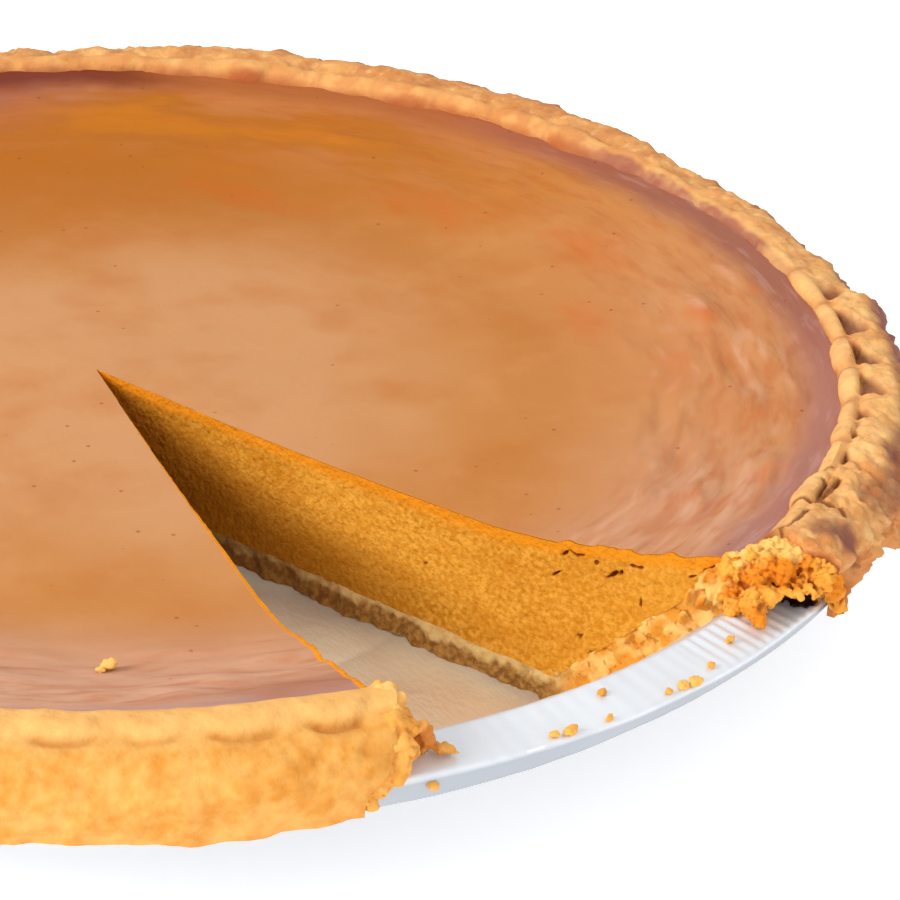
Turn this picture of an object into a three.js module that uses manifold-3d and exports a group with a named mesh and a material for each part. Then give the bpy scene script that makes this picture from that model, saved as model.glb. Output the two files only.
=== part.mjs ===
// A pumpkin pie in its pressed foil tin, with one slice taken out.
// Millimetres. +Z is up, the tin's base rests on z = 0, its centre is the origin,
// and the missing slice opens towards -Y.
// Three pieces: the tin, the pastry shell with its crimped rim, and the set filling.
import * as THREE from "three";
import {
  mergeGeometries,
  mergeVertices,
} from "three/addons/utils/BufferGeometryUtils.js";
import Module from "manifold-3d";

const wasm = await Module();
wasm.setup();

const DEG = Math.PI / 180;
const FULL_TURN = 2 * Math.PI;

// ---------------------------------------------------------------- driving dimensions

// Clearance between pieces that touch.
const FIT_GAP = 0.3;

// The missing slice, about a twelfth of the pie. Angles are measured from -Y towards +X.
const SLICE_HALF_DEGREES = 14.9;
const SLICE_HALF_ANGLE = SLICE_HALF_DEGREES * DEG;
const PIE_SWEEP = FULL_TURN - 2 * SLICE_HALF_ANGLE;

// The tin: a flat base with a pressed ring, a sloping fluted wall, a flange,
// and an edge rolled downwards.
const FOIL = 0.5;
const TIN_BASE_RADIUS = 86;
const TIN_MOUTH_RADIUS = 111.8;
const TIN_DEPTH = 27.5;
const FLANGE_WIDTH = 6.9;
const FLANGE_DROP = 0.6;
const LIP_ROLL = 0.7;
const LIP_DEPTH = 1.9;
const LIP_EDGE = 0.5;
const LIP_SAG = 0.8;
const BASE_FILLET = 2.4;
const BASE_RING_RADIUS = 57.4;
const BASE_RING_WIDTH = 2.4;
const BASE_RING_DEPTH = 0.25;
const FLUTE_COUNT = 42;
const FLUTE_DEPTH = 0.6;
const FLUTE_RUN_OUT = 4;

// The pastry shell: floor, wall, and a rim that lies over the flange and its lip.
const BOTTOM_CRUST = 3.5;
const WALL_CRUST = 3.8;
const CORNER_RISE = 2.2;
const CORNER_RUN = 2.4;
const CREST_HEIGHT = 34.7;
const CREST_WAVE = 0.6;
const RIM_RADIUS = 121.6;
const RIM_BELLY_HEIGHT = 28;
const RIM_SHOULDER_HEIGHT = 31.4;
const RIM_WAVE = 0.7;
const WAVE_COUNT = 4;
const WAVE_START = 117 * DEG;
const RIM_TUCK = 0.4; // the belly and the skirt's foot round in by about this much
const SKIRT_BOTTOM = 23.5;
const SKIRT_RAGGED = 0.5;
const SKIRT_EDGE = 0.7;

// The crimped rim: a rope of beads inside, a pressed pit behind each bead,
// and slanting ridges out to the edge.
const CRIMP_COUNT = 55;
const CRIMP_PITCH = PIE_SWEEP / CRIMP_COUNT;
const SLICES_PER_CRIMP = 3;
const BEAD_RADIUS = 111.9;
const BEAD_NOTCH = 0.9;
const PIT_RADIUS = 114.6;
const PIT_DEPTH = 2.0;
const RIDGE_RADIUS = 117.0;
const RIDGE_FALL_RUN = 1.8;
const RIDGE_FALL = 1.3;
const RIDGE_VALLEY = 1.1;
const RIDGE_SLANT = 1 / 12; // of a crimp, for each millimetre outwards
const CRIMP_UNEVEN = 0.25;

// The torn ends of the rim: beside the slice its outer part has broken further back.
const TEAR_REACH = 9 * DEG;
const TEAR_FROM_RADIUS = 115;
const TEAR_RIGHT = 0.6 * DEG; // for each millimetre outwards
const TEAR_LEFT = 0.23 * DEG;

// The filling: flat and sunken in the middle, risen where it meets the crust.
const FILLING_CENTRE_HEIGHT = 23.6;
const FILLING_SAG = 0.5;
const FILLING_FLAT_RADIUS = 77;
const FILLING_RIM_RADIUS = 109.7;
const FILLING_RIM_HEIGHT = 32.8;
const FILLING_SHOULDER_HEIGHT = 30.6;
const FILLING_RINGS = [107.6, 103, 97, 90, 84, FILLING_FLAT_RADIUS, 62, 40, 18];
const FILLING_RISE_BOW = 0.25; // 0 is a straight rise, 1 a fully bowed one
const FILLING_SEGMENTS = 84;
const SKIN_WAVE = 0.35;
const SKIN_WAVE_RADIUS = 92;
const SKIN_WAVE_WIDTH = 13;
const SLOW_WAVES = 7;
const QUICK_WAVES = 13;

// ---------------------------------------------------------------- worked-out sizes

const WALL_SLOPE = (TIN_MOUTH_RADIUS - TIN_BASE_RADIUS) / (TIN_DEPTH - FOIL);
const SLANT = Math.hypot(1, WALL_SLOPE); // radial distance for each unit square to the wall
const FLANGE_EDGE = TIN_MOUTH_RADIUS + FLANGE_WIDTH;
const FLANGE_EDGE_HEIGHT = TIN_DEPTH - FLANGE_DROP;
const LIP_RADIUS = FLANGE_EDGE + LIP_ROLL;
const SKIRT_INSIDE = LIP_RADIUS + FIT_GAP;
const CRUST_FLOOR = FOIL + FIT_GAP;
const CRUST_FLOOR_TOP = CRUST_FLOOR + BOTTOM_CRUST;
const FILLING_BASE = CRUST_FLOOR_TOP + FIT_GAP;

/** The radius of the tin wall's inner face at a height. */
const tinFace = (height) => TIN_BASE_RADIUS + WALL_SLOPE * (height - FOIL);

/** The radius of the wall crust's back, against the tin, at a height. */
const crustBack = (height) => tinFace(height) - (FIT_GAP + 0.1) * SLANT;

/** The radius of the wall crust's face, against the filling, at a height. */
const crustFace = (height) => tinFace(height) - WALL_CRUST * SLANT;

// ---------------------------------------------------------------- shared helpers

/** A point of a profile: distance from the axis, and height. */
const at = (radius, height) => new THREE.Vector2(radius, height);

/** Turns three.js lathe space (axis +Y) into the part's space (axis +Z, angle 0 on -Y). */
const STAND_UP = new THREE.Matrix4().makeRotationX(Math.PI / 2);

/** The angle of a point round the pie's axis, from -Y towards +X, in 0 to a full turn. */
const angleOf = (x, y) => (Math.atan2(x, -y) + FULL_TURN) % FULL_TURN;

/** Merges coincident vertices and drops the triangles that this flattens to a line. */
function weld(geometry) {
  const bare = geometry.index ? geometry.toNonIndexed() : geometry.clone();
  bare.deleteAttribute("normal");
  bare.deleteAttribute("uv");
  const welded = mergeVertices(bare, 1e-4);
  const kept = [];
  const index = welded.index.array;
  for (let i = 0; i < index.length; i += 3) {
    const [a, b, c] = [index[i], index[i + 1], index[i + 2]];
    if (a !== b && b !== c && c !== a) kept.push(a, b, c);
  }
  welded.setIndex(kept);
  return welded;
}

/** A profile's end face at an angle, facing back along the sweep or on along it. */
function endFace(profile, angle, facesOn) {
  const onFace = (point) => [
    point.x * Math.sin(angle),
    point.y,
    point.x * Math.cos(angle),
  ];
  const triangles = THREE.ShapeUtils.triangulateShape(profile, []);
  const corners = triangles.flatMap(([a, b, c]) => (facesOn ? [b, a, c] : [a, b, c]));
  const places = corners.flatMap((corner) => onFace(profile[corner]));
  return new THREE.BufferGeometry().setAttribute(
    "position",
    new THREE.Float32BufferAttribute(places, 3),
  );
}

/** A profile swept round the pie from one cut to the other, with both end faces. */
function sweptPie(profile, segments) {
  const closed = [...profile, profile[0]];
  const skin = new THREE.LatheGeometry(closed, segments, SLICE_HALF_ANGLE, PIE_SWEEP);
  const loose = skin.toNonIndexed();
  loose.deleteAttribute("normal");
  loose.deleteAttribute("uv");
  const start = endFace(profile, SLICE_HALF_ANGLE, false);
  const end = endFace(profile, SLICE_HALF_ANGLE + PIE_SWEEP, true);
  return weld(mergeGeometries([loose, start, end]).applyMatrix4(STAND_UP));
}

/** Moves every vertex by a rule on its radius, angle and height. */
function reshape(geometry, rule) {
  const position = geometry.getAttribute("position");
  for (let i = 0; i < position.count; i++) {
    const [x, y, z] = [position.getX(i), position.getY(i), position.getZ(i)];
    const place = { radius: Math.hypot(x, y), angle: angleOf(x, y), height: z };
    rule(place);
    const { radius, angle, height } = place;
    position.setXYZ(i, radius * Math.sin(angle), -radius * Math.cos(angle), height);
  }
  return geometry;
}

/** A three.js geometry as a manifold-3d solid. */
function toSolid(geometry) {
  const merged = weld(geometry);
  return new wasm.Manifold(
    new wasm.Mesh({
      numProp: 3,
      vertProperties: new Float32Array(merged.getAttribute("position").array),
      triVerts: new Uint32Array(merged.index.array),
    }),
  );
}

/** A manifold-3d solid as a three.js geometry. */
function toGeometry(solid) {
  const mesh = solid.getMesh();
  return new THREE.BufferGeometry()
    .setAttribute("position", new THREE.BufferAttribute(mesh.vertProperties, 3))
    .setIndex(new THREE.BufferAttribute(mesh.triVerts, 1));
}

/** A repeatable number from -1 to 1 for a whole number. */
function scatter(n) {
  const wave = Math.sin(n * 127.1 + 11.7) * 43758.5453;
  return 2 * (wave - Math.floor(wave)) - 1;
}

/** A rough lump of crumb, or an empty pocket: a ball with dented sides and three half sizes. */
function lump({ radius, degrees, height, size, seed, detail }) {
  const dents = 0.22;
  const ball = weld(new THREE.IcosahedronGeometry(1, detail));
  const position = ball.getAttribute("position");
  for (let i = 0; i < position.count; i++) {
    const grow = 1 + dents * scatter(seed * 97 + i);
    position.setXYZ(
      i,
      position.getX(i) * size[0] * grow,
      position.getY(i) * size[1] * grow,
      position.getZ(i) * size[2] * grow,
    );
  }
  const angle = degrees * DEG;
  ball.applyMatrix4(new THREE.Matrix4().makeRotationZ(angle - Math.PI / 2));
  ball.translate(radius * Math.sin(angle), -radius * Math.cos(angle), height);
  return toSolid(ball);
}

// ---------------------------------------------------------------- the foil tin

/** How far a flute stands out at an angle, from nothing to the full depth. */
const flute = (angle) => FLUTE_DEPTH * 0.5 * (1 - Math.cos(FLUTE_COUNT * angle));

/** A point of the wall's inner face, by its distance up the slope. */
const onWall = (along) =>
  at(TIN_BASE_RADIUS + (WALL_SLOPE * along) / SLANT, FOIL + along / SLANT);

/** The point of the wall's outer face behind one of its inner face. */
const behind = (point) =>
  at(point.x + FOIL / SLANT, point.y - (FOIL * WALL_SLOPE) / SLANT);

function tinProfile() {
  const wallLength = (TIN_DEPTH - FOIL) * SLANT;
  const steps = [BASE_FILLET, FLUTE_RUN_OUT, wallLength - FLUTE_RUN_OUT, wallLength - 1];
  const inside = steps.map(onWall);
  const lipBottom = FLANGE_EDGE_HEIGHT - LIP_DEPTH;
  return [
    at(0, 0),
    at(TIN_BASE_RADIUS - 2 * FOIL, 0),
    ...inside.map(behind),
    at(TIN_MOUTH_RADIUS + 2 * FOIL, TIN_DEPTH - FOIL),
    at(FLANGE_EDGE - FOIL, FLANGE_EDGE_HEIGHT - FOIL),
    at(FLANGE_EDGE - FOIL / 2, lipBottom + LIP_EDGE),
    at(FLANGE_EDGE + FOIL / 2, lipBottom),
    at(LIP_RADIUS, lipBottom + LIP_EDGE),
    at(LIP_RADIUS, FLANGE_EDGE_HEIGHT - LIP_EDGE),
    at(FLANGE_EDGE, FLANGE_EDGE_HEIGHT),
    at(TIN_MOUTH_RADIUS + FOIL, TIN_DEPTH),
    ...inside.toReversed(),
    at(onWall(0).x - BASE_FILLET / 2, FOIL),
    at(BASE_RING_RADIUS + BASE_RING_WIDTH / 2, FOIL),
    at(BASE_RING_RADIUS, FOIL - BASE_RING_DEPTH),
    at(BASE_RING_RADIUS - BASE_RING_WIDTH / 2, FOIL),
    at(0, FOIL),
  ];
}

/** Flutes the wall, puckers the flange's edge and lets the rolled lip hang unevenly. */
function shapeFoil(place) {
  const { radius, angle, height } = place;
  const wallTop = TIN_DEPTH - FLUTE_RUN_OUT / SLANT;
  const onFlutes = height > BASE_FILLET && height < wallTop + FOIL;
  const nearEdge = Math.abs(radius - FLANGE_EDGE) < 0.6 * FOIL + LIP_EDGE;
  const onLip = radius > FLANGE_EDGE - FOIL && height < FLANGE_EDGE_HEIGHT - 2 * FOIL;
  if (radius < TIN_MOUTH_RADIUS && onFlutes) {
    place.radius += flute(angle);
  } else if (onLip) {
    place.height -= LIP_SAG * (1 - Math.sin(WAVE_COUNT * angle));
  } else if (nearEdge && radius < FLANGE_EDGE + 0.1) {
    place.height -= 0.5 * flute(angle);
  }
}

function foilTin() {
  const round = new THREE.LatheGeometry(tinProfile(), 2 * FLUTE_COUNT);
  return reshape(weld(round.applyMatrix4(STAND_UP)), shapeFoil);
}

// ---------------------------------------------------------------- the filling

/** The height of the filling's top at a distance from the axis. */
function fillingTop(radius) {
  const inner = Math.min(radius, FILLING_FLAT_RADIUS) / FILLING_FLAT_RADIUS;
  const sag = FILLING_SAG * Math.sin(Math.PI * inner);
  const rise = Math.max(0, radius - FILLING_FLAT_RADIUS);
  const share = rise / (FILLING_RIM_RADIUS - FILLING_FLAT_RADIUS);
  const lift = FILLING_RIM_HEIGHT - FILLING_CENTRE_HEIGHT;
  const bowed = share * (1 - FILLING_RISE_BOW + FILLING_RISE_BOW * share);
  return FILLING_CENTRE_HEIGHT - sag + lift * bowed;
}

function fillingProfile() {
  const corner = FILLING_BASE + CORNER_RISE;
  return [
    at(0, FILLING_BASE),
    at(crustFace(corner) - CORNER_RUN - 2 * FIT_GAP, FILLING_BASE),
    at(crustFace(corner) - FIT_GAP, corner),
    at(crustFace(FILLING_SHOULDER_HEIGHT) - FIT_GAP, FILLING_SHOULDER_HEIGHT),
    at(FILLING_RIM_RADIUS, FILLING_RIM_HEIGHT),
    ...FILLING_RINGS.map((radius) => at(radius, fillingTop(radius))),
    at(0, FILLING_CENTRE_HEIGHT),
  ];
}

/** Soft, uneven waves of the set skin, strongest inside the risen rim. */
function waveSkin(place) {
  const { radius, angle, height } = place;
  const onTop = height > FILLING_CENTRE_HEIGHT - 2 * FILLING_SAG;
  if (!onTop || radius < 1 || radius > FILLING_RINGS[1]) return;
  const band = Math.exp(-(((radius - SKIN_WAVE_RADIUS) / SKIN_WAVE_WIDTH) ** 2));
  const slow = Math.sin(SLOW_WAVES * angle + radius / 9);
  const quick = Math.sin(QUICK_WAVES * angle - radius / 5);
  place.height += SKIN_WAVE * band * (slow + 0.6 * quick);
}

// Pockets and short cracks in the cut face on the +X side of the missing slice.
// Half sizes run outwards, across the cut, and upwards.
const POCKETS = [
  { radius: 87.6, height: 24.2, size: [2.6, 0.9, 0.5] },
  { radius: 92.2, height: 24.0, size: [1.2, 1.2, 0.9] },
  { radius: 84.3, height: 21.2, size: [0.8, 0.8, 0.5] },
  { radius: 96.4, height: 25.6, size: [1.4, 0.8, 0.5] },
  { radius: 88.2, height: 12.5, size: [0.8, 0.7, 0.7] },
];

function pumpkinFilling() {
  const whole = reshape(sweptPie(fillingProfile(), FILLING_SEGMENTS), waveSkin);
  let solid = toSolid(whole);
  POCKETS.forEach((pocket, n) => {
    const hollow = { ...pocket, degrees: SLICE_HALF_DEGREES, seed: n + 3, detail: 0 };
    solid = solid.subtract(lump(hollow));
  });
  return toGeometry(solid);
}

// ---------------------------------------------------------------- the pastry shell

/** The rise and fall of the whole rim round the pie, from -1 to 1. */
const rimWave = (angle) => Math.cos(WAVE_COUNT * (angle - WAVE_START));

function pastryProfile() {
  const corner = CRUST_FLOOR_TOP + CORNER_RISE;
  const backFoot = CRUST_FLOOR + CORNER_RISE + 2 * FIT_GAP;
  const backTop = TIN_DEPTH - 0.9;
  const overFlange = TIN_DEPTH + FIT_GAP + 0.05;
  const faceTop = FILLING_SHOULDER_HEIGHT + 2 * FIT_GAP;
  return [
    at(0, CRUST_FLOOR),
    at(TIN_BASE_RADIUS - CORNER_RUN + FIT_GAP, CRUST_FLOOR),
    at(crustBack(backFoot), backFoot),
    at(crustBack(backTop), backTop),
    at(TIN_MOUTH_RADIUS + FIT_GAP, overFlange),
    at(SKIRT_INSIDE, overFlange - FIT_GAP),
    at(SKIRT_INSIDE, SKIRT_BOTTOM + SKIRT_EDGE),
    at(RIM_RADIUS - RIM_TUCK, SKIRT_BOTTOM),
    at(RIM_RADIUS + RIM_TUCK / 2, RIM_BELLY_HEIGHT),
    at(RIM_RADIUS - 2.5 * RIM_TUCK, RIM_SHOULDER_HEIGHT),
    at(RIDGE_RADIUS + RIDGE_FALL_RUN, CREST_HEIGHT - RIDGE_FALL),
    at(RIDGE_RADIUS, CREST_HEIGHT),
    at(PIT_RADIUS, CREST_HEIGHT),
    at((PIT_RADIUS + BEAD_RADIUS) / 2, CREST_HEIGHT),
    at(BEAD_RADIUS, CREST_HEIGHT),
    at(FILLING_RIM_RADIUS + 2 * FIT_GAP, FILLING_RIM_HEIGHT + 3 * FIT_GAP),
    at(FILLING_RIM_RADIUS + 2 * FIT_GAP, FILLING_RIM_HEIGHT - FIT_GAP),
    at(crustFace(faceTop), faceTop),
    at(crustFace(corner), corner),
    at(crustFace(corner) - CORNER_RUN, CRUST_FLOOR_TOP),
    at(0, CRUST_FLOOR_TOP),
  ];
}

/** How far a crimp is pressed in at a place, from 0 on its ridges to 1 in its pit. */
function pressAt(turns, radius) {
  const slant = RIDGE_SLANT * Math.max(0, radius - PIT_RADIUS);
  return 0.5 * (1 + Math.cos(FULL_TURN * (turns + slant)));
}

/** Presses the crimps into the top of the rim and tears its ends beside the slice. */
function shapeRim(place) {
  const { radius, angle, height } = place;
  if (radius < FILLING_RIM_RADIUS || height < SKIRT_BOTTOM - 1) return;
  const turns = (angle - SLICE_HALF_ANGLE) / CRIMP_PITCH;
  const crimp = Math.round(turns);
  const uneven = CRIMP_UNEVEN * scatter(crimp + 40);
  const press = pressAt(turns, radius);
  const row = (ring) => Math.abs(radius - ring) < FIT_GAP;
  if (height > FILLING_RIM_HEIGHT - 1) {
    const fromFilling = Math.min(1, (radius - FILLING_RIM_RADIUS) / 3);
    place.height += CREST_WAVE * rimWave(angle) * fromFilling;
    if (row(BEAD_RADIUS)) place.height -= (BEAD_NOTCH + uneven) * (1 - press);
    if (row(PIT_RADIUS)) place.height -= (PIT_DEPTH + uneven) * press;
    if (radius > RIDGE_RADIUS - 1) place.height -= (RIDGE_VALLEY + uneven) * press;
  }
  if (radius > SKIRT_INSIDE + 0.2) {
    place.radius += RIM_WAVE * rimWave(angle) + FIT_GAP * (1 - press);
    place.radius += 0.2 * scatter(crimp + 7);
    if (height < SKIRT_BOTTOM + 1) place.height += SKIRT_RAGGED * scatter(3 * crimp + 1);
  }
  const outward = Math.max(0, radius - TEAR_FROM_RADIUS);
  const fromRight = Math.max(0, 1 - (angle - SLICE_HALF_ANGLE) / TEAR_REACH);
  const fromLeft = Math.max(0, 1 - (SLICE_HALF_ANGLE + PIE_SWEEP - angle) / TEAR_REACH);
  place.angle += outward * (TEAR_RIGHT * fromRight - TEAR_LEFT * fromLeft);
}

// Chunks of crumb that stand out of the two torn ends of the rim.
// Half sizes run outwards, across the tear, and upwards.
const CRUMB_DETAIL = 1;
const TORN_CRUMBS = [
  { radius: 112.5, degrees: 14.6, height: 31.4, size: [2.2, 1.6, 1.8] },
  { radius: 110.6, degrees: 14.3, height: 29.2, size: [1.6, 1.4, 1.7] },
  { radius: 114.2, degrees: 14.4, height: 29.6, size: [1.9, 1.8, 1.5] },
  { radius: 116.6, degrees: 15.3, height: 31.9, size: [2.2, 1.9, 1.6] },
  { radius: 118.4, degrees: 16.2, height: 29.9, size: [2.0, 2.1, 1.5] },
  { radius: 120.3, degrees: 17.2, height: 28.6, size: [2.3, 1.7, 1.2] },
  { radius: 115.2, degrees: 14.0, height: 33.0, size: [1.8, 1.3, 1.2] },
  { radius: 108.4, degrees: 14.5, height: 27.0, size: [1.1, 1.1, 1.6] },
  { radius: 113.0, degrees: -14.7, height: 32.8, size: [2.0, 1.6, 1.6] },
  { radius: 115.0, degrees: -14.4, height: 30.4, size: [2.2, 1.9, 1.8] },
  { radius: 117.6, degrees: -14.8, height: 29.3, size: [2.1, 1.7, 1.6] },
  { radius: 118.8, degrees: -15.4, height: 31.2, size: [1.8, 1.6, 1.6] },
  { radius: 113.6, degrees: -13.7, height: 29.2, size: [1.2, 1.4, 1.1] },
];

function pastryCrust() {
  const whole = sweptPie(pastryProfile(), CRIMP_COUNT * SLICES_PER_CRIMP);
  let solid = toSolid(reshape(whole, shapeRim));
  TORN_CRUMBS.forEach((crumb, n) => {
    solid = solid.add(lump({ ...crumb, seed: n + 20, detail: CRUMB_DETAIL }));
  });
  return toGeometry(solid);
}

// ---------------------------------------------------------------- the assembly

const foil = new THREE.MeshStandardMaterial({
  color: 0xd9dcdf,
  metalness: 0.9,
  roughness: 0.35,
});
const custard = new THREE.MeshStandardMaterial({
  color: 0xd08f4e,
  roughness: 0.45,
});
const pastry = new THREE.MeshStandardMaterial({
  color: 0xe6ac60,
  roughness: 0.85,
});

/** One named piece of the pie. */
function piece(name, geometry, material) {
  const mesh = new THREE.Mesh(geometry, material);
  mesh.name = name;
  return mesh;
}

const pie = new THREE.Group();
pie.add(piece("foil_tin", foilTin(), foil));
pie.add(piece("pumpkin_filling", pumpkinFilling(), custard));
pie.add(piece("pastry_crust", pastryCrust(), pastry));

export default pie;
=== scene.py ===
# %% [markdown]
# # A pumpkin pie in its pressed foil tin
# This lesson dresses a plain CAD model of a pie, one slice gone, as the real thing: a set
# custard with a leathery skin and a crumbly cut face, short pastry with a crimped rim that
# has torn beside the slice, and a thin foil tin. Each step says what the real piece is, how
# it could be made, and why this way was chosen. Lengths are in millimetres until the last
# moment, because that is how a baker would measure them, while Blender works in metres.

import itertools
import math

import bmesh
import bpy
import numpy as np
from mathutils import Matrix, Vector


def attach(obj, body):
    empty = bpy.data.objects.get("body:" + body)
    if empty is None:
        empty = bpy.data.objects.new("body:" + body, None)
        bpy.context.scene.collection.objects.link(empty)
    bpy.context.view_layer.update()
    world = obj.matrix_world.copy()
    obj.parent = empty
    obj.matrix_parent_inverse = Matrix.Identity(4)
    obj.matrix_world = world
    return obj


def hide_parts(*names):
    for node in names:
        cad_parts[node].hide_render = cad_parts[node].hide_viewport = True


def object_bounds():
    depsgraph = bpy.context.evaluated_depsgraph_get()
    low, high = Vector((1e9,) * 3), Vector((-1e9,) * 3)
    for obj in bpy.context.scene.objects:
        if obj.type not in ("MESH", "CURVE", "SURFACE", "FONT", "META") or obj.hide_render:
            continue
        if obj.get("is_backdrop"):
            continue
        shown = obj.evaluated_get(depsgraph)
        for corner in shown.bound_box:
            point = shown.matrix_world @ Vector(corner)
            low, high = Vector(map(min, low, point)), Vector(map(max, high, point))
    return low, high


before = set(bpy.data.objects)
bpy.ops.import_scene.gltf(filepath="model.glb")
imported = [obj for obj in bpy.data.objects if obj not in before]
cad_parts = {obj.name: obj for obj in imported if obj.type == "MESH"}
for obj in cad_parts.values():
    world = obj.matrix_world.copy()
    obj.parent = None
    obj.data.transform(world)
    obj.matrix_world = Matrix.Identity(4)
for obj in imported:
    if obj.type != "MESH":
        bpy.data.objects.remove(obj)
cad_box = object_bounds()
MM = 0.001
print("CAD box in metres:", [[round(v, 4) for v in corner] for corner in cad_box])

# %% [markdown]
# ## Noise in space
# Baked and torn things are uneven in a way that depends on where you are, not on which
# vertex you look at. Blender's own noise can be read point by point, which is slow for a
# hundred thousand points, so these helpers work on whole arrays: every whole cell of space
# gets a repeatable number, and the numbers are blended smoothly in between.


# %% smooth noise and scattered grains
def cell_number(cell, seed):
    """A repeatable number from 0 to 1 for each whole cell of space."""
    a, b, c = (cell[..., n].astype(np.int64) for n in range(3))
    mixed = (a * 73856093) ^ (b * 19349663) ^ (c * 83492791) ^ (seed * 26544357 + 977)
    mixed = (mixed ^ (mixed >> 13)) * 1274126177
    mixed = (mixed ^ (mixed >> 16)) * 668265263
    return ((mixed ^ (mixed >> 15)) & 0xFFFFFF) / 0xFFFFFF


def noise(points, size, seed=0):
    """Smooth noise from -1 to 1 whose lumps are about the given size."""
    scaled = points / size
    low = np.floor(scaled)
    share = scaled - low
    share = share * share * (3 - 2 * share)
    total = np.zeros(len(points))
    for corner in itertools.product((0, 1), repeat=3):
        step = np.array(corner)
        weight = np.prod(np.where(step, share, 1 - share), axis=-1)
        total += weight * cell_number(low + step, seed)
    return 2 * total - 1


def rough(points, size, seed=0, layers=3):
    """Noise with finer and finer noise laid over it."""
    total = np.zeros(len(points))
    for layer in range(layers):
        total += noise(points, size / 2**layer, seed + layer) / 2**layer
    return total / (2 - 2 ** (1 - layers))


def grains(points, size, seed=0, angular=False):
    """Distance to the nearest of many scattered points, as a share of their spacing."""
    scaled = points / size
    low = np.floor(scaled)
    nearest = np.full(len(points), 9.0)
    for corner in itertools.product((-1, 0, 1), repeat=3):
        cell = low + np.array(corner)
        middle = cell + np.stack([cell_number(cell, seed + n) for n in (0, 11, 23)], -1)
        apart = np.abs(scaled - middle)
        gap = 0.62 * apart.sum(-1) if angular else np.sqrt((apart**2).sum(-1))
        nearest = np.minimum(nearest, gap)
    return nearest


def ease(value, low, high):
    """A soft step from 0 at low to 1 at high."""
    share = np.clip((value - low) / (high - low), 0, 1)
    return share * share * (3 - 2 * share)


def window(value, start, full, fading, end):
    """0 up to start, 1 from full to fading and 0 again from end on."""
    return ease(value, start, full) * (1 - ease(value, fading, end))


def hump(value, width):
    """A smooth hump, 1 where the value is 0."""
    return np.exp(-((value / width) ** 2))


sample = rough(np.random.default_rng(1).uniform(0, 50, (2000, 3)), 4)
print("noise from", round(sample.min(), 2), "to", round(sample.max(), 2))


# %% [markdown]
# ## Round-the-pie places
# A pie is round, so a place on it is said best as a distance from the middle, an angle
# round it and a height. The angle is 0 where the missing slice points, and grows
# anticlockwise seen from above. These helpers go from that to Blender's x, y, z and back.


# %% polar places
def turned(radius, degrees, height):
    """The x, y, z of places given by distance, angle and height."""
    angle = np.radians(degrees)
    return np.stack([radius * np.sin(angle), -radius * np.cos(angle), height], -1)


def polar(points):
    """Distance from the axis, angle in 0 to 360 and height of points."""
    radius = np.hypot(points[:, 0], points[:, 1])
    degrees = np.degrees(np.arctan2(points[:, 0], -points[:, 1])) % 360
    return radius, degrees, points[:, 2].copy()


def signed_angle(degrees):
    """Angles brought to -180 to 180, with the missing slice at 0."""
    return (degrees + 180) % 360 - 180


def read_points(mesh):
    """A mesh's vertices in millimetres."""
    flat = np.empty(3 * len(mesh.vertices))
    mesh.vertices.foreach_get("co", flat)
    return flat.reshape(-1, 3) / MM


def write_points(mesh, points):
    """Puts a mesh's vertices where the points say, in millimetres."""
    mesh.vertices.foreach_set("co", (points * MM).ravel())
    mesh.update()


def read_layer(mesh, name):
    """The numbers that a mesh keeps for each vertex under a name."""
    values = np.empty(len(mesh.vertices))
    mesh.attributes[name].data.foreach_get("value", values)
    return values


def write_layer(mesh, name, values):
    """Keeps one number for each vertex, for the shader to read."""
    layer = mesh.attributes.get(name) or mesh.attributes.new(name, "FLOAT", "POINT")
    layer.data.foreach_set("value", np.asarray(values, dtype=float))


print("30 degrees round at 100 mm:", turned(100, 30, 0).round(1))

# %% [markdown]
# ## A section carried round the pie
# Filling and pastry are both a flat section, the shape a knife shows, carried round the
# axis from one side of the missing slice to the other. A lathe would leave the two cut
# faces empty, and those are what everyone looks at. So the section is a grid, which gives
# each cut face its own fine mesh, and the grid's border is spun round between them. One
# spin over hundreds of steps gets slow, because every step looks through the whole mesh, so
# a short stretch is spun once and its copies are laid end to end. Each vertex remembers how
# far across and up the section it started.

# %% the sweeping tool
SLICE_HALF = 14.9
PIE_SWEEP = 360 - 2 * SLICE_HALF


def is_on_axis(vert):
    """Whether a vertex lies on the pie's axis."""
    return vert.co.xy.length < 1e-7


def section_grid(columns, rows, place):
    """The section as a grid: place(across, up) gives a point of it in mm."""
    shape = bmesh.new()
    bmesh.ops.create_grid(shape, x_segments=columns, y_segments=rows, size=1)
    for key in ("across", "up"):
        shape.verts.layers.float.new(key)
    across, up = (shape.verts.layers.float[key] for key in ("across", "up"))
    for vert in shape.verts:
        vert[across], vert[up] = (vert.co.x + 1) / 2, (vert.co.y + 1) / 2
        radius, height = place(vert[across], vert[up])
        vert.co = Vector(turned(radius, SLICE_HALF, height)) * MM
    return shape


def border_only(shape):
    """Leaves a grid's border, without what lies on the axis."""
    inside = [v for v in shape.verts if not v.is_boundary]
    bmesh.ops.delete(shape, geom=inside, context="VERTS")
    on_axis = [e for e in shape.edges if all(map(is_on_axis, e.verts))]
    bmesh.ops.delete(shape, geom=on_axis, context="EDGES")
    loose = [v for v in shape.verts if not v.link_edges]
    bmesh.ops.delete(shape, geom=loose, context="VERTS")
    return shape


def mesh_of(shape, name):
    """Turns a bmesh into a mesh and lets the bmesh go."""
    mesh = bpy.data.meshes.new(name)
    shape.to_mesh(mesh)
    shape.free()
    return mesh


def all_start_at(corners, part, value):
    """Whether corners all started at a value, across (part 0) or up (part 1) the section."""
    return all(abs(corner[part] - value) < 1e-6 for corner in corners)


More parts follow.
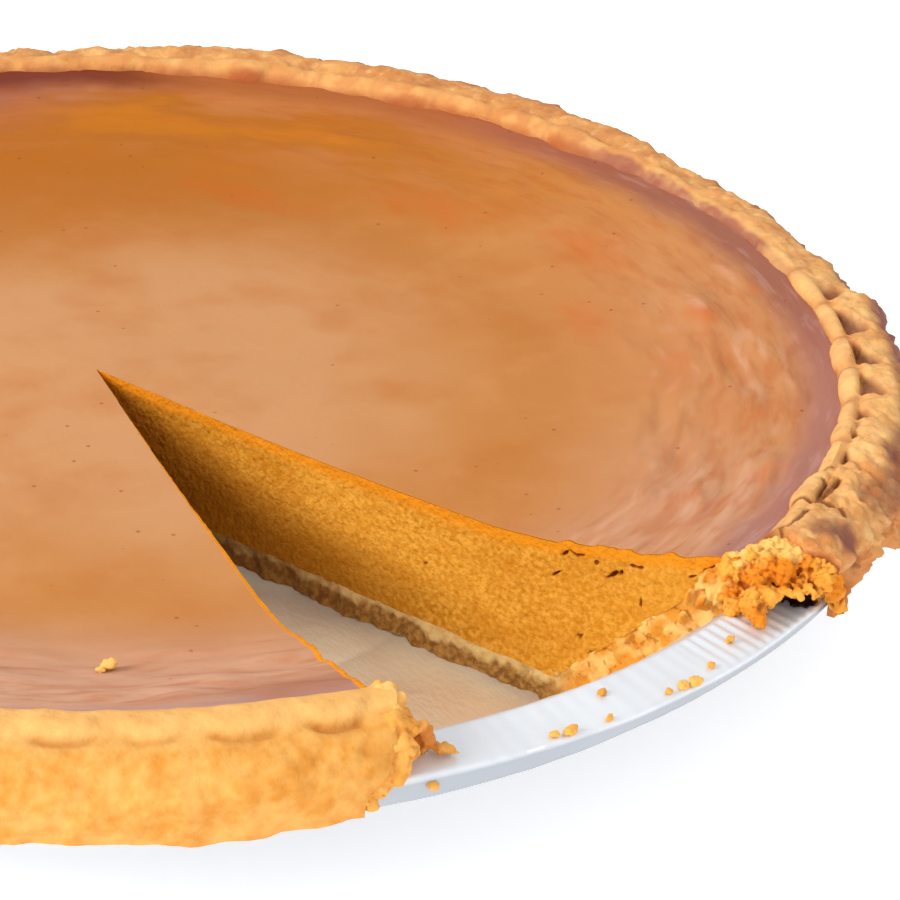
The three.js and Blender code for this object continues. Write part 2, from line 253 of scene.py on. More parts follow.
def spun_stretch(shape, angle, steps, is_hidden=None):
    """A short stretch of the sweep as a mesh, its hidden flat sides made plain."""
    outline = list(shape.verts) + list(shape.edges)
    turn = dict(cent=(0, 0, 0), axis=(0, 0, 1), angle=math.radians(angle), steps=steps)
    bmesh.ops.spin(shape, geom=outline, **turn)
    axis = [v for v in shape.verts if is_on_axis(v)]
    bmesh.ops.remove_doubles(shape, verts=axis, dist=1e-6)
    if is_hidden:
        across, up = (shape.verts.layers.float[key] for key in ("across", "up"))
        hidden = [f for f in shape.faces if is_hidden([(v[across], v[up]) for v in f.verts])]
        verts = {v for f in hidden for v in f.verts if not v.is_boundary}
        edges = {e for f in hidden for e in f.edges if not e.is_boundary}
        flat = dict(angle_limit=0.004, verts=list(verts), edges=list(edges))
        bmesh.ops.dissolve_limit(shape, **flat)
    return mesh_of(shape, "stretch")


def lay_round(whole, make_outline, zones, is_hidden=None):
    """Lays copies of spun stretches end to end: zones are (copies, angle, steps)."""
    so_far = 0.0
    for copies, angle, steps in zones:
        stretch = spun_stretch(make_outline(), angle, steps, is_hidden)
        stretch.transform(Matrix.Rotation(math.radians(so_far), 4, "Z"))
        for _ in range(copies):
            whole.from_mesh(stretch)
            stretch.transform(Matrix.Rotation(math.radians(angle), 4, "Z"))
        bpy.data.meshes.remove(stretch)
        so_far += copies * angle
    return so_far


def close_up(whole, name):
    """Merges the seams of what was laid end to end, and returns the mesh."""
    seams = [v for v in whole.verts if v.is_boundary or is_on_axis(v)]
    bmesh.ops.remove_doubles(whole, verts=seams, dist=2e-6)
    bmesh.ops.recalc_face_normals(whole, faces=whole.faces)
    still_open = sum(e.is_boundary for e in whole.edges)
    mesh = mesh_of(whole, name)
    print(name, "has", len(mesh.vertices), "vertices and", still_open, "open edges")
    return mesh


def section_mesh(name, columns, rows, place, zones, is_hidden):
    """A solid swept from a section, with both of its cut faces."""
    whole = section_grid(columns, rows, place)
    far = bmesh.ops.duplicate(whole, geom=list(whole.faces))["geom"]
    far_verts = [g for g in far if isinstance(g, bmesh.types.BMVert)]
    far_faces = [g for g in far if isinstance(g, bmesh.types.BMFace)]
    whole_turn = Matrix.Rotation(math.radians(PIE_SWEEP), 3, "Z")
    bmesh.ops.rotate(whole, verts=far_verts, cent=(0, 0, 0), matrix=whole_turn)
    bmesh.ops.reverse_faces(whole, faces=far_faces)
    lay_round(whole, lambda: border_only(section_grid(columns, rows, place)), zones, is_hidden)
    return close_up(whole, name)


def finish_piece(mesh, replaced, finish, smooth_under=55):
    """Makes a mesh a piece of the pie that stands for a CAD node."""
    mesh.polygons.foreach_set("use_smooth", [True] * len(mesh.polygons))
    mesh.set_sharp_from_angle(angle=math.radians(smooth_under))
    piece = bpy.data.objects.new(mesh.name, mesh)
    bpy.context.scene.collection.objects.link(piece)
    mesh.materials.append(finish)
    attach(piece, "root")
    if replaced:
        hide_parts(replaced)
    mesh.calc_loop_triangles()
    print(mesh.name, "has", len(mesh.loop_triangles), "triangles")


print("the pie sweeps", PIE_SWEEP, "degrees round its axis")

# %% [markdown]
# ## Shader sums as plain Python
# Blender's shaders are nodes, and a formula such as 1 - mask * 0.4 is three of them. Wiring
# them by hand hides the sum, so one small class wraps a socket and turns Python's own
# operators into Math nodes. A second class keeps the rest short: it makes any other node
# from its type, its settings and what goes into its sockets.


# %% wrapped sockets
class Wire:
    """A shader value whose sums add Math nodes."""

    def __init__(self, finish, socket):
        self.finish, self.socket = finish, socket

    def math(self, operation, first, second=0.0, clamp=False):
        settings = {"operation": operation, "use_clamp": clamp}
        return self.finish.node("ShaderNodeMath", settings, {0: first, 1: second})[0]

    def __add__(self, other):
        return self.math("ADD", self, other)

    def __sub__(self, other):
        return self.math("SUBTRACT", self, other)

    def __rsub__(self, other):
        return self.math("SUBTRACT", other, self)

    def __mul__(self, other):
        return self.math("MULTIPLY", self, other)

    def __truediv__(self, other):
        return self.math("DIVIDE", self, other)

    def __pow__(self, other):
        return self.math("POWER", self, other)

    __radd__ = __add__
    __rmul__ = __mul__


def colour(red, green, blue):
    """A screen colour from 0 to 255 as the shader's linear one."""
    parts = [part / 255 for part in (red, green, blue)]
    linear = [p / 12.92 if p < 0.04045 else ((p + 0.055) / 1.055) ** 2.4 for p in parts]
    return (*linear, 1.0)


class Finish:
    """One procedural material."""

    def __init__(self, name):
        self.material = bpy.data.materials.new(name)
        self.material.use_nodes = True
        self.tree = self.material.node_tree
        self.tree.nodes.clear()
        self.place = self.node("ShaderNodeTexCoord", {}, {})["Object"]

    def node(self, kind, settings, sockets):
        """Adds a node: settings first, then the values or links of its sockets."""
        made = self.tree.nodes.new(kind)
        for key, value in settings.items():
            setattr(made, key, value)
        for key, value in sockets.items():
            if isinstance(value, Wire):
                self.tree.links.new(value.socket, made.inputs[key])
            else:
                made.inputs[key].default_value = value
        outputs = list(made.outputs)
        wires = {n: Wire(self, out) for n, out in enumerate(outputs)}
        wires.update({out.name: Wire(self, out) for out in reversed(outputs)})
        return wires

    def noise(self, size, detail=3.0, stretch=None, offset=0.0):
        """Noise from 0 to 1 with lumps of about this many millimetres."""
        where = self.place
        if stretch or offset:
            shift = {"Vector": where, "Scale": stretch or (1, 1, 1)}
            shift["Location"] = (offset, offset, offset)
            where = self.node("ShaderNodeMapping", {}, shift)["Vector"]
        sockets = {"Vector": where, "Scale": 0.5 / (size * MM), "Detail": detail}
        return self.node("ShaderNodeTexNoise", {}, sockets)[0]

    def ring_noise(self, size, stretch, detail=3.0):
        """Noise from 0 to 1 whose lumps are drawn out round the pie."""
        x, y, z = self.axes()
        angle = x.math("ARCTAN2", x * -1.0, y)
        parts = {0: self.from_axis(), 1: angle * (0.1 / stretch), 2: z}
        where = self.node("ShaderNodeCombineXYZ", {}, parts)[0]
        sockets = {"Vector": where, "Scale": 0.5 / (size * MM), "Detail": detail}
        return self.node("ShaderNodeTexNoise", {}, sockets)[0]

    def specks(self, spacing, offset=0.0):
        """Distance to scattered points, and a number for each of them."""
        shift = {"Vector": self.place, "Location": (offset, offset, offset)}
        where = self.node("ShaderNodeMapping", {}, shift)["Vector"]
        sockets = {"Vector": where, "Scale": 1 / (spacing * MM)}
        made = self.node("ShaderNodeTexVoronoi", {}, sockets)
        number = self.node("ShaderNodeSeparateColor", {}, {0: made["Color"]})[0]
        return made["Distance"], number

    def fade(self, value, low, high):
        """A soft step from 0 at low to 1 at high."""
        settings = {"interpolation_type": "SMOOTHSTEP"}
        sockets = {0: value, 1: low, 2: high, 3: 0.0, 4: 1.0}
        return self.node("ShaderNodeMapRange", settings, sockets)[0]

    def window(self, value, start, full, fading, end):
        """0 up to start, 1 from full to fading and 0 again from end on."""
        return self.fade(value, start, full) * (1 - self.fade(value, fading, end))

    def blend(self, share, first, second, mode="MIX"):
        """A colour between two others."""
        settings = {"data_type": "RGBA", "blend_type": mode}
        return self.node("ShaderNodeMix", settings, {0: share, 6: first, 7: second})[2]

    def paint(self, base, *coats):
        """Lays coats over a colour, each a share and a screen colour."""
        for share, shade in coats:
            base = self.blend(share, base, colour(*shade))
        return base

    def patches(self, size, detail, low, high, **more):
        """Noise with everything below low left out and above high full."""
        return self.fade(self.noise(size, detail, **more), low, high)

    def layer(self, name):
        """What the mesh keeps for each vertex under a name."""
        return self.node("ShaderNodeAttribute", {"attribute_name": name}, {})["Fac"]

    def axes(self):
        """The object's x, y and z in metres."""
        parts = self.node("ShaderNodeSeparateXYZ", {}, {0: self.place})
        return parts["X"], parts["Y"], parts["Z"]

    def from_axis(self):
        """The distance from the pie's axis in metres."""
        x, y, _ = self.axes()
        return (x * x + y * y) ** 0.5

    def done(self, base, roughness, height=None, depth=0.3, fixed=None):
        """Joins colour, roughness and fine relief, and returns the material."""
        sockets = {"Base Color": base, "Roughness": roughness, **(fixed or {})}
        if height is not None:
            relief = {"Height": height, "Distance": depth * MM, "Strength": 1.0}
            sockets["Normal"] = self.node("ShaderNodeBump", {}, relief)["Normal"]
        shader = self.node("ShaderNodeBsdfPrincipled", {}, sockets)[0]
        self.node("ShaderNodeOutputMaterial", {}, {"Surface": shader})
        return self.material


print("white as the shader has it:", colour(255, 255, 255))

# %% [markdown]
# ## The filling's form
# Pumpkin custard sets from the rim inwards: it stays flat and a little sunken in the middle
# and climbs ever more steeply to the crust over the last four centimetres. Its side follows the
# sloping pastry wall. The section's columns stand closer together towards the rim, where
# the skin wrinkles.

# %% the filling's section
FILLING_BASE = 4.6
CENTRE_HEIGHT = 23.6
CENTRE_SAG = 0.5
FLAT_RADIUS = 71.0
FILLING_RADIUS = 110.2
RIM_LIFT = 9.2
RISE_POWER = 1.45
WALL_FOOT = 80.75
WALL_SLOPE = 0.9556


def filling_top(radius):
    """The height of the set skin before it wrinkles."""
    inner = np.minimum(radius, FLAT_RADIUS) / FLAT_RADIUS
    share = np.maximum(0, radius - FLAT_RADIUS) / (FILLING_RADIUS - FLAT_RADIUS)
    sag = CENTRE_SAG * np.sin(math.pi * inner)
    return CENTRE_HEIGHT - sag + RIM_LIFT * share**RISE_POWER


def filling_foot(radius):
    """The height of the filling's underside and sloping side."""
    return np.maximum(FILLING_BASE, (radius - WALL_FOOT) / WALL_SLOPE + 0.5)


def filling_section(across, up):
    """Where the filling's section lies, with its columns closer together at the rim."""
    radius = FILLING_RADIUS * (1.35 * across - 0.35 * across**2)
    return radius, filling_foot(radius) * (1 - up) + filling_top(radius) * up


filling_mesh = section_mesh(
    "pumpkin_custard",
    columns=168,
    rows=42,
    place=filling_section,
    zones=[(5, 8.02, 17), (25, 9.8, 7), (5, 9.02, 14)],
    is_hidden=lambda corners: all_start_at(corners, 1, 0) or all_start_at(corners, 0, 1),
)
print(len(filling_mesh.vertices), "vertices before the fine work")

# %% [markdown]
# ## Pockets and cracks in the cut face
# Slow-baked custard holds a few torn air pockets, and the knife has pulled it away from the crust
# in a crooked crack. Paint alone would look flat there, so that part of the cut face is subdivided
# and the pockets are pressed in as real hollows; their insides and the crack are painted dark as
# well, as shade. Their outlines are bent by noise because none is a neat oval.

# %% finer mesh beside the rim
shape = bmesh.new()
shape.from_mesh(filling_mesh)
cut_angle = math.radians(SLICE_HALF)


def on_right_cut(vert):
    """Whether a vertex lies on the near cut face of the +X side."""
    off = vert.co.x * math.cos(cut_angle) + vert.co.y * math.sin(cut_angle)
    return abs(off) < 1e-6


def wants_detail(edge):
    """Whether an edge lies where the pockets and the crack are."""
    middle = (edge.verts[0].co + edge.verts[1].co) / 2
    radius = middle.xy.length / MM
    return 80 < radius < 111 and middle.z > 18 * MM and all(map(on_right_cut, edge.verts))


close_edges = [e for e in shape.edges if wants_detail(e)]
bmesh.ops.subdivide_edges(shape, edges=close_edges, cuts=2, use_grid_fill=True)
bmesh.ops.triangulate(shape, faces=[f for f in shape.faces if len(f.verts) > 4])
shape.to_mesh(filling_mesh)
shape.free()
print(len(close_edges), "edges made finer")

# %% [markdown]
# ## The skin
# The skin is smooth in the middle. Near the rim it dried first and then sank with the
# custard, so it lies in long wrinkles that run round the pie, with a few soft blisters. It
# is shaped here by raising and lowering whole columns of the section, which keeps the cut
# face joined to the skin.

# %% wrinkles and blisters
points = read_points(filling_mesh)
radius, degrees, height = polar(points)
signed = signed_angle(degrees)
foot, top = filling_foot(radius), filling_top(radius)
share_up = np.clip((height - foot) / np.maximum(top - foot, 0.01), 0, 1)
flat_place = turned(radius, degrees, 0 * radius)

BLISTERS = [
    # distance, angle, half length round the pie, half width outwards, height
    (95.0, 64.6, 8.5, 3.2, 1.8),
    (103.5, 68.2, 6.0, 1.8, 0.6),
    (97.6, 44.9, 8.0, 2.6, 0.8),
    (101.9, 32.6, 4.2, 2.6, 0.9),
    (93.0, 26.8, 5.2, 2.2, 0.7),
    (94.8, 39.0, 6.5, 2.4, 0.5),
    (87.4, 25.9, 6.0, 2.8, 0.4),
    (99.2, 21.1, 6.5, 1.6, 0.5),
    (84.2, -26.0, 7.0, 1.2, 0.35),
    (91.2, -19.7, 6.0, 1.1, 0.4),
    (98.5, -24.0, 9.0, 1.4, 0.4),
    (96.0, 120.0, 9.0, 2.6, 0.6),
    (99.0, 171.0, 10.0, 2.4, 0.6),
    (94.0, 214.0, 9.0, 3.0, 0.7),
    (98.0, 262.0, 8.0, 2.4, 0.6),
    (92.0, 301.0, 9.0, 2.6, 0.5),
]
BLUSHES = [
    # distance, angle, half length round the pie, half width outwards, strength
    (94.6, 62.6, 5.0, 2.6, 1.0),
    (104.2, 66.0, 5.0, 1.8, 0.6),
    (98.8, 43.0, 6.0, 2.4, 0.6),
    (102.6, 30.8, 4.0, 2.2, 0.7),
    (94.2, 25.2, 4.5, 1.6, 0.5),
    (88.0, 56.0, 9.0, 5.0, 0.5),
    (80.0, 70.0, 12.0, 5.0, 0.5),
    (90.0, 84.0, 14.0, 6.0, 0.6),
    (84.0, 105.0, 14.0, 6.0, 0.5),
    (74.0, 128.0, 18.0, 6.0, 0.5),
    (88.0, 196.0, 16.0, 6.0, 0.5),
    (90.0, 252.0, 14.0, 5.0, 0.5),
    (86.0, 292.0, 12.0, 4.0, 0.4),
]
# painted highlights on the blisters' lit sides
GLEAMS = [
    # distance, angle, half length round the pie, half width outwards, strength
    (94.8, 66.4, 5.5, 1.2, 1.0),
    (102.8, 69.8, 5.0, 0.9, 0.6),
    (96.4, 47.0, 6.0, 0.9, 0.6),
    (100.9, 34.4, 3.5, 0.8, 0.6),
    (91.8, 28.8, 4.5, 0.8, 0.5),
    (98.6, 22.8, 5.0, 0.7, 0.5),
]
lift = 0.28 * noise(flat_place, 34, 1) * ease(radius, 8, 40)
wrinkle_place = np.stack([radius, np.radians(degrees) * 22, 0 * radius], -1)
bent = wrinkle_place + 1.6 * np.stack([noise(flat_place, 9, 5), 0 * radius, 0 * radius], -1)
wrinkles = noise(bent, 3.4, 2) + 0.55 * noise(bent, 1.9, 3) + 0.25 * noise(bent, 1.0, 4)
at_rim = window(radius, 76, 90, 104, 109)
by_right_cut = window(signed, 8, 16, 48, 78)
by_left_cut = window(-signed, 8, 16, 44, 80)
wrinkled = at_rim * (0.14 + 0.50 * by_right_cut + 0.36 * by_left_cut)
lift += wrinkles * wrinkled
for where, angle, half_round, half_out, raised in BLISTERS:
    aside = signed_angle(signed - angle)
    along = np.radians(aside) * radius / half_round
    out = (radius - where) / half_out
    lift += raised * np.exp(-(along**2) - np.where(out > 0, 1.5, 0.6) * out**2)
painted = {"blush": np.zeros(len(points)), "gleam": np.zeros(len(points))}
ragged = 0.35 * noise(flat_place, 3.5, 6) + 0.2 * noise(flat_place, 1.5, 7)
for name, places in (("blush", BLUSHES), ("gleam", GLEAMS)):
    for where, angle, half_round, half_out, amount in places:
        aside = signed_angle(signed - angle)
        gap = np.hypot(np.radians(aside) * radius / half_round, (radius - where) / half_out)
        here = amount * (1 - ease(gap + ragged, 0.1, 1.1))
        painted[name] = np.maximum(painted[name], here)
# for a painted highlight on the wrinkles' ridges and painted shade in their valleys
streaks = 0.35 * noise(bent, 3.4, 2) + noise(bent, 1.5, 3) + 0.5 * noise(bent, 0.9, 4)
painted["ridge"] = np.clip(0.5 + 0.6 * streaks * wrinkled, 0, 1)
points[:, 2] += lift * share_up
print("the skin rises and falls from", round(lift.min(), 2), "to", round(lift.max(), 2), "mm")

# %% [markdown]
# ## The cut face
# A knife drags through custard and leaves it matt and finely crumbed, slightly wavy rather
# than flat. Each point of the two cut faces is pushed in along the face's own normal by
# noise of several sizes, and deeply where a pocket or the crack along the crust is.



# %% press the pockets in
def cut_face(points, side):
    """Which points lie on a side's cut face, and the way from it into the pie."""
    angle = side * math.radians(SLICE_HALF)
    along, ahead = math.cos(angle), math.sin(angle)
    off = points[:, 0] * along + points[:, 1] * ahead
    forward = points[:, 0] * ahead - points[:, 1] * along
    return (np.abs(off) < 0.01) & (forward > 0.05), side * np.array([along, ahead, 0])


cut_faces = {side: cut_face(points, side) for side in (1, -1)}
right_cut, on_cut = cut_faces[1][0], cut_faces[1][0] | cut_faces[-1][0]

POCKETS = [
    # distance, height, half length, half height, lean, depth
    (84.7, 24.1, 0.9, 0.24, 0.85, 1.0),
    (85.9, 24.6, 0.9, 0.22, -0.35, 1.0),
    (87.0, 24.7, 0.8, 0.22, 0.3, 0.9),
    (83.7, 20.7, 1.1, 0.30, 0.75, 1.1),
    (92.3, 23.7, 1.5, 0.42, 0.75, 1.6),
    (93.3, 24.3, 0.6, 0.40, 1.3, 1.2),
    (95.9, 26.2, 1.1, 0.36, 0.15, 0.8),
    (89.6, 24.5, 0.45, 0.32, 0.9, 0.5),
    (88.1, 12.5, 0.55, 0.4, 0.3, 0.8),
    (90.4, 10.6, 0.5, 0.5, 0.2, 0.7),
    (96.9, 21.4, 0.25, 0.9, 0.1, 0.5),
    (74.1, 18.1, 0.3, 0.25, 0.0, 0.4),
    (62.0, 14.0, 0.3, 0.25, 0.0, 0.4),
]
CRUST_CRACK = [(107.6, 31.3), (106.9, 30.4), (105.9, 29.8), (104.8, 28.4), (103.6, 27.6)]


def line_distance(across, up, corners):
    """Distance of points from a crooked line, in the plane of a section."""
    nearest = np.full(len(across), 99.0)
    for (a0, b0), (a1, b1) in zip(corners, corners[1:]):
        run, rise = a1 - a0, b1 - b0
        share = ((across - a0) * run + (up - b0) * rise) / (run * run + rise * rise)
        share = np.clip(share, 0, 1)
        gap = np.hypot(across - a0 - share * run, up - b0 - share * rise)
        nearest = np.minimum(nearest, gap)
    return nearest


hollow = np.zeros(len(points))
# how far inside a pocket or the crack each point is, for painted shade
pocket_shade = np.zeros(len(points))
on_faces = np.flatnonzero(on_cut)
spot = points[on_faces]
out_from, level_at = radius[on_faces], spot[:, 2]
wobble = 0.45 * noise(spot, 0.9, 31) + 0.25 * noise(spot, 0.45, 32)
pressed = np.zeros(len(spot))
for where, level, half_long, half_tall, lean, depth in POCKETS:
    out, rise = out_from - where, level_at - level
    along = (out * math.cos(lean) + rise * math.sin(lean)) / half_long
    thick = (rise * math.cos(lean) - out * math.sin(lean)) / half_tall
    inside = ease(1.1 - np.hypot(along, thick) + wobble, 0.0, 0.6)
    pressed = np.maximum(pressed, depth * inside)
    pocket_shade[on_faces] = np.maximum(pocket_shade[on_faces], inside)
crack = line_distance(out_from, level_at, CRUST_CRACK)
inside = ease(0.16 - crack + 0.4 * wobble, 0.0, 0.3)
pressed = np.maximum(pressed, 0.7 * inside)
pocket_shade[on_faces] = np.maximum(pocket_shade[on_faces], inside)
pocket_shade *= right_cut
hollow[on_faces] = 0.6 * pressed

crumbed = np.zeros(len(points))
texture = 0.20 * noise(spot, 7.0, 41) + 0.05 * noise(spot, 2.2, 42)
texture += 0.06 * noise(spot, 0.8, 43) - 0.10 * ease(grains(spot, 2.6, 44), 0.28, 0.1)
crumbed[on_faces] = texture
from_tip = ease(radius, 0, 9)
for side, (on_face, inward) in cut_faces.items():
    depth = (hollow * (side == 1) + 0.15 + crumbed) * from_tip
    points += np.outer(np.maximum(depth, 0) * on_face, inward)
write_points(filling_mesh, points)
write_layer(filling_mesh, "cut", on_cut.astype(float))
write_layer(filling_mesh, "painted_pocket_shade", pocket_shade)
write_layer(filling_mesh, "below_skin", np.clip((1 - share_up) * (top - foot), 0, 12) / 12)
for name, values in painted.items():
    write_layer(filling_mesh, name, values)
print(int(on_cut.sum()), "vertices on the two cut faces, deepest", round(hollow.max(), 1), "mm")

# %% [markdown]
# ## The filling's finish
# The skin is a satin tan-orange that turns rosy brown where it dried against the crust, with tiny
# spice specks. Its sheen is partly painted: paler and greyer in the middle and along the front,
# darker and more saturated at the back. The cut face is brighter, more golden and quite matt, and
# the custard just under the skin is the most saturated. Colour follows the distance from the
# middle, and the cut face is told apart by the number that each vertex keeps.

# %% the skin's broad colours
custard = Finish("pumpkin custard")
x, y, z = custard.axes()
middle = custard.from_axis()
cloudy = (custard.noise(22, 3) - 0.5) * 0.07
# painted sheen: the middle of the skin paler and greyer
central_sheen = 1 - custard.fade(middle + cloudy, 0.036, 0.074)
left_side = 1 - custard.fade(x + cloudy, -0.060, 0.0)
uneven = (custard.noise(18, 2, offset=0.7) - 0.5) * 0.03
behind = custard.fade(y + 0.45 * x + uneven, 0.027, 0.097)
wisps = custard.patches(5, 4, 0.45, 0.75, offset=0.6) * (1 - behind)
# painted sheen: the skin paler and greyer along the front slope, more so on the left
front = custard.fade(middle + cloudy * 0.2, 0.068, 0.096) * (1 - custard.fade(y, -0.05, 0.02))
front = front * (1 - 0.6 * custard.fade(x, 0.040, 0.066))
uneven = (custard.noise(12, 3, offset=0.2) - 0.5) * 0.012
slope = custard.fade(middle + uneven, 0.078, 0.100)
drawn_out = custard.ring_noise(5.0, 3.5, 3)
golden = custard.fade(drawn_out, 0.50, 0.62) * behind * slope
rosy = (1 - custard.fade(drawn_out, 0.38, 0.50)) * behind * slope
skin = custard.paint(
    colour(189, 124, 67),
    (central_sheen * 0.46, (207, 160, 120)),
    # painted: the back darker and more saturated, where less sheen falls
    (behind * 0.95, (171, 100, 33)),
    (custard.patches(8, 4, 0.42, 0.75, offset=0.4) * 0.4, (180, 100, 34)),
    (wisps * 0.25, (206, 148, 94)),
    # painted sheen along the front, stronger on the left
    (front * 0.75, (194, 144, 114)),
    (front * left_side * 0.7, (202, 156, 130)),
    (golden * 0.5, (196, 116, 26)),
    (rosy * 0.4, (196, 128, 84)),
    (custard.fade(y, 0.080, 0.104) * 0.6, (148, 97, 100)),
)

# %% [markdown]
# ## The browned band and the skin's small marks
# Against the crust the skin is driest and darkest, more so at the back than at the front; at the
# front left the band is painted paler and greyer as sheen, and at its foot on the right darker as
# shade. The ridges of the wrinkles are painted paler as highlights and their valleys browner as
# shade, both from the number that the relief left behind. Scratches, blushes and specks come last,
# with painted highlights on the blisters.

# %% the band and the small marks
ridge = custard.layer("ridge")
veins = custard.ring_noise(0.9, 4.0, 4)
uneven = (custard.noise(5, 3, offset=0.9) - 0.5) * 0.004
band = custard.fade(middle + uneven, 0.1022, 0.1078)
# the band paler and greyer at the front left: painted sheen
front_band = custard.blend(left_side, colour(160, 108, 98), colour(182, 143, 134))
# painted shade at the band's foot on the right
band_shade_right = custard.fade(x, 0.045, 0.085) * custard.fade(y, -0.085, -0.045)
front_band = custard.paint(front_band, (band_shade_right * 0.7, (132, 76, 62)))
far_band = custard.blend(custard.fade(x, 0.096, 0.112), colour(164, 94, 54), colour(156, 84, 66))
far_band = custard.blend(custard.fade(x, 0.058, 0.076), colour(108, 44, 32), far_band)
by_cut = custard.window(x, -0.050, -0.034, -0.022, 0.0)
by_cut = by_cut * custard.fade(middle + uneven, 0.096, 0.103) * (1 - behind)
skin = custard.paint(
    skin,
    # painted highlight on the wrinkle ridges, painted shade in their valleys
    (custard.fade(ridge, 0.55, 0.90) * 0.28, (218, 170, 142)),
    ((1 - custard.fade(ridge, 0.12, 0.46)) * 0.38, (176, 96, 48)),
    (custard.fade(veins, 0.44, 0.74) * slope * 0.45, (176, 94, 44)),
    (by_cut * 0.85, (166, 110, 86)),
)
skin = custard.blend(band * 0.85, skin, custard.blend(behind, front_band, far_band))
scratches = custard.fade(custard.ring_noise(0.7, 6.0, 4), 0.52, 0.70) * band * (1 - behind)
to_speck, number = custard.specks(4.2)
speck = (1 - custard.fade(to_speck, 0.03, 0.11)) * custard.fade(number, 0.55, 0.6)
skin = custard.paint(
    skin,
    (scratches * 0.22, (200, 164, 156)),
    (custard.layer("blush") * 0.5, (196, 88, 28)),
    # painted highlights on the blisters
    (custard.layer("gleam") * 0.32, (226, 178, 156)),
    (speck * 0.5, (110, 62, 26)),
    (custard.fade(custard.layer("cut"), 0.0, 0.25) * 0.85, (228, 140, 32)),
)

# %% [markdown]
# ## The cut face's colours, and the finish as a whole
# Cut custard is a mottle of fine golden grains. It is darker towards the tip and low down,
# where little light comes in, and brightest just under the skin. The finish then takes the
# skin or the crumb at each point, with the shine and the fine relief that go with it.

# %% the cut face and the custard's finish
to_fleck, number = custard.specks(0.9, offset=0.3)
fleck = (1 - custard.fade(to_fleck, 0.1, 0.4)) * custard.fade(number, 0.5, 0.9)
# painted shade low down and towards the tip
painted_low_shade = 1 - custard.fade(z + middle * 0.06, 0.010, 0.020)
painted_low_shade = painted_low_shade * (1 - custard.fade(middle, 0.045, 0.080))
below = custard.layer("below_skin") + custard.noise(3, 2) * 0.05
crumb = custard.paint(
    custard.blend(custard.patches(0.4, 4, 0.32, 0.68), colour(196, 124, 28), colour(228, 164, 64)),
    (custard.patches(4, 4, 0.40, 0.70, stretch=(1, 1, 1.8)) * 0.45, (190, 116, 24)),
    (custard.patches(9, 2, 0.4, 0.7) * 0.3, (230, 162, 60)),
    (custard.fade(middle, 0.060, 0.092) * 0.3, (198, 126, 38)),
    (fleck * 0.35, (172, 98, 20)),
    # painted shade towards the tip and low down
    ((1 - custard.fade(middle, 0.004, 0.056)) * 0.55, (146, 84, 12)),
    (painted_low_shade * 0.6, (134, 76, 8)),
    ((1 - custard.fade(below, 0.08, 0.22)) * 0.85, (224, 136, 26)),
    # painted shade inside the pockets and the crack
    (custard.fade(custard.layer("painted_pocket_shade"), 0.1, 0.8), (132, 64, 16)),
)
cut = custard.fade(custard.layer("cut"), 0.3, 0.7)
gloss = 0.50 + 0.12 * custard.noise(6, 3)
roughness = gloss * (1 - cut) + 0.85 * cut
streaky = custard.ring_noise(1.1, 4.0, 3) * slope
fine = custard.noise(0.8, 4) * 0.12 + custard.noise(2.4, 3) * 0.14 + streaky * 0.6
pores = custard.noise(0.35, 3) * 0.8 + custard.noise(0.9, 3)
relief = fine * (1 - cut) + pores * cut
shine = {"Specular IOR Level": 0.0, "Coat Weight": (1 - cut) * 0.07, "Coat Roughness": 0.35}
custard_finish = custard.done(custard.blend(cut, skin, crumb), roughness, relief, 0.5, shine)
finish_piece(filling_mesh, "pumpkin_filling", custard_finish)

# %% [markdown]
# ## The pastry floor and wall
# Below the rim the pastry is a plain shell: a floor and a sloping wall between the custard
# and the tin. Only its two cut ends show, as a pale layer over a browner, crumblier one. It
# is a bent strip swept round the pie, with its ends roughened as crumb.

# %% the shell's section
SHELL_FLOOR, SHELL_TOP = 0.5, 4.75
SHELL_LINE_BACK = [(0, SHELL_FLOOR), (84.6, SHELL_FLOOR), (89.1, 3.4), (112.0, 27.1)]
SHELL_LINE_FACE = [(0, SHELL_TOP), (83.6, SHELL_TOP), (86.3, 6.7), (105.7, 27.3)]


def along_line(corners, share):
    """The point a share of the way along a line, by the share of its corners' steps."""
    stops = [0, 0.70, 0.745, 1.0]
    a, b = zip(*corners)
    return np.interp(share, stops, a), np.interp(share, stops, b)


def shell_section(across, up):
    """Where the shell's section lies, between its back and its face."""
    back, face = along_line(SHELL_LINE_BACK, across), along_line(SHELL_LINE_FACE, across)
    return back[0] * (1 - up) + face[0] * up, back[1] * (1 - up) + face[1] * up


shell_mesh = section_mesh(
    "pastry_shell",
    columns=260,
    rows=9,
    place=shell_section,
    zones=[(22, PIE_SWEEP / 22, 6)],
    is_hidden=lambda corners: all_start_at(corners, 1, 0) or all_start_at(corners, 1, 1),
)
points = read_points(shell_mesh)
radius, degrees, height = polar(points)
layer_up = read_layer(shell_mesh, "up")
for side in (1, -1):
    on_face, inward = cut_face(points, side)
    end = np.flatnonzero(on_face)
    spot = points[end]
    lumps = 0.9 * rough(spot, 3.0, 51, 3) + 1.1 * (0.42 - grains(spot, 2.2, 52, angular=True))
    lumps += 0.35 * noise(spot, 9, 53) + 0.5 * (0.4 - grains(spot, 1.1, 54, angular=True))
    lumps = lumps * (1 - 0.75 * ease(layer_up[end], 0.72, 1.0)) - 0.15 * layer_up[end]
    points[end] -= np.outer(lumps * ease(radius[end], 1, 12), inward)
write_points(shell_mesh, points)
print("shell of", len(shell_mesh.vertices), "vertices")

# %% [markdown]
# ## The crimped rim
# The rim is one more swept section, laid over the tin's flange. The baker pinched it: on
# the inside a rope of plump beads, behind each bead a pressed pit, and between the pits
# slanting petals that run out to the edge. Modelling each crimp by hand would repeat work
# and look stamped, so the rim is a smooth section whose surface is raised and lowered by a
# rule in the angle and the distance outwards, with every crimp given its own size.

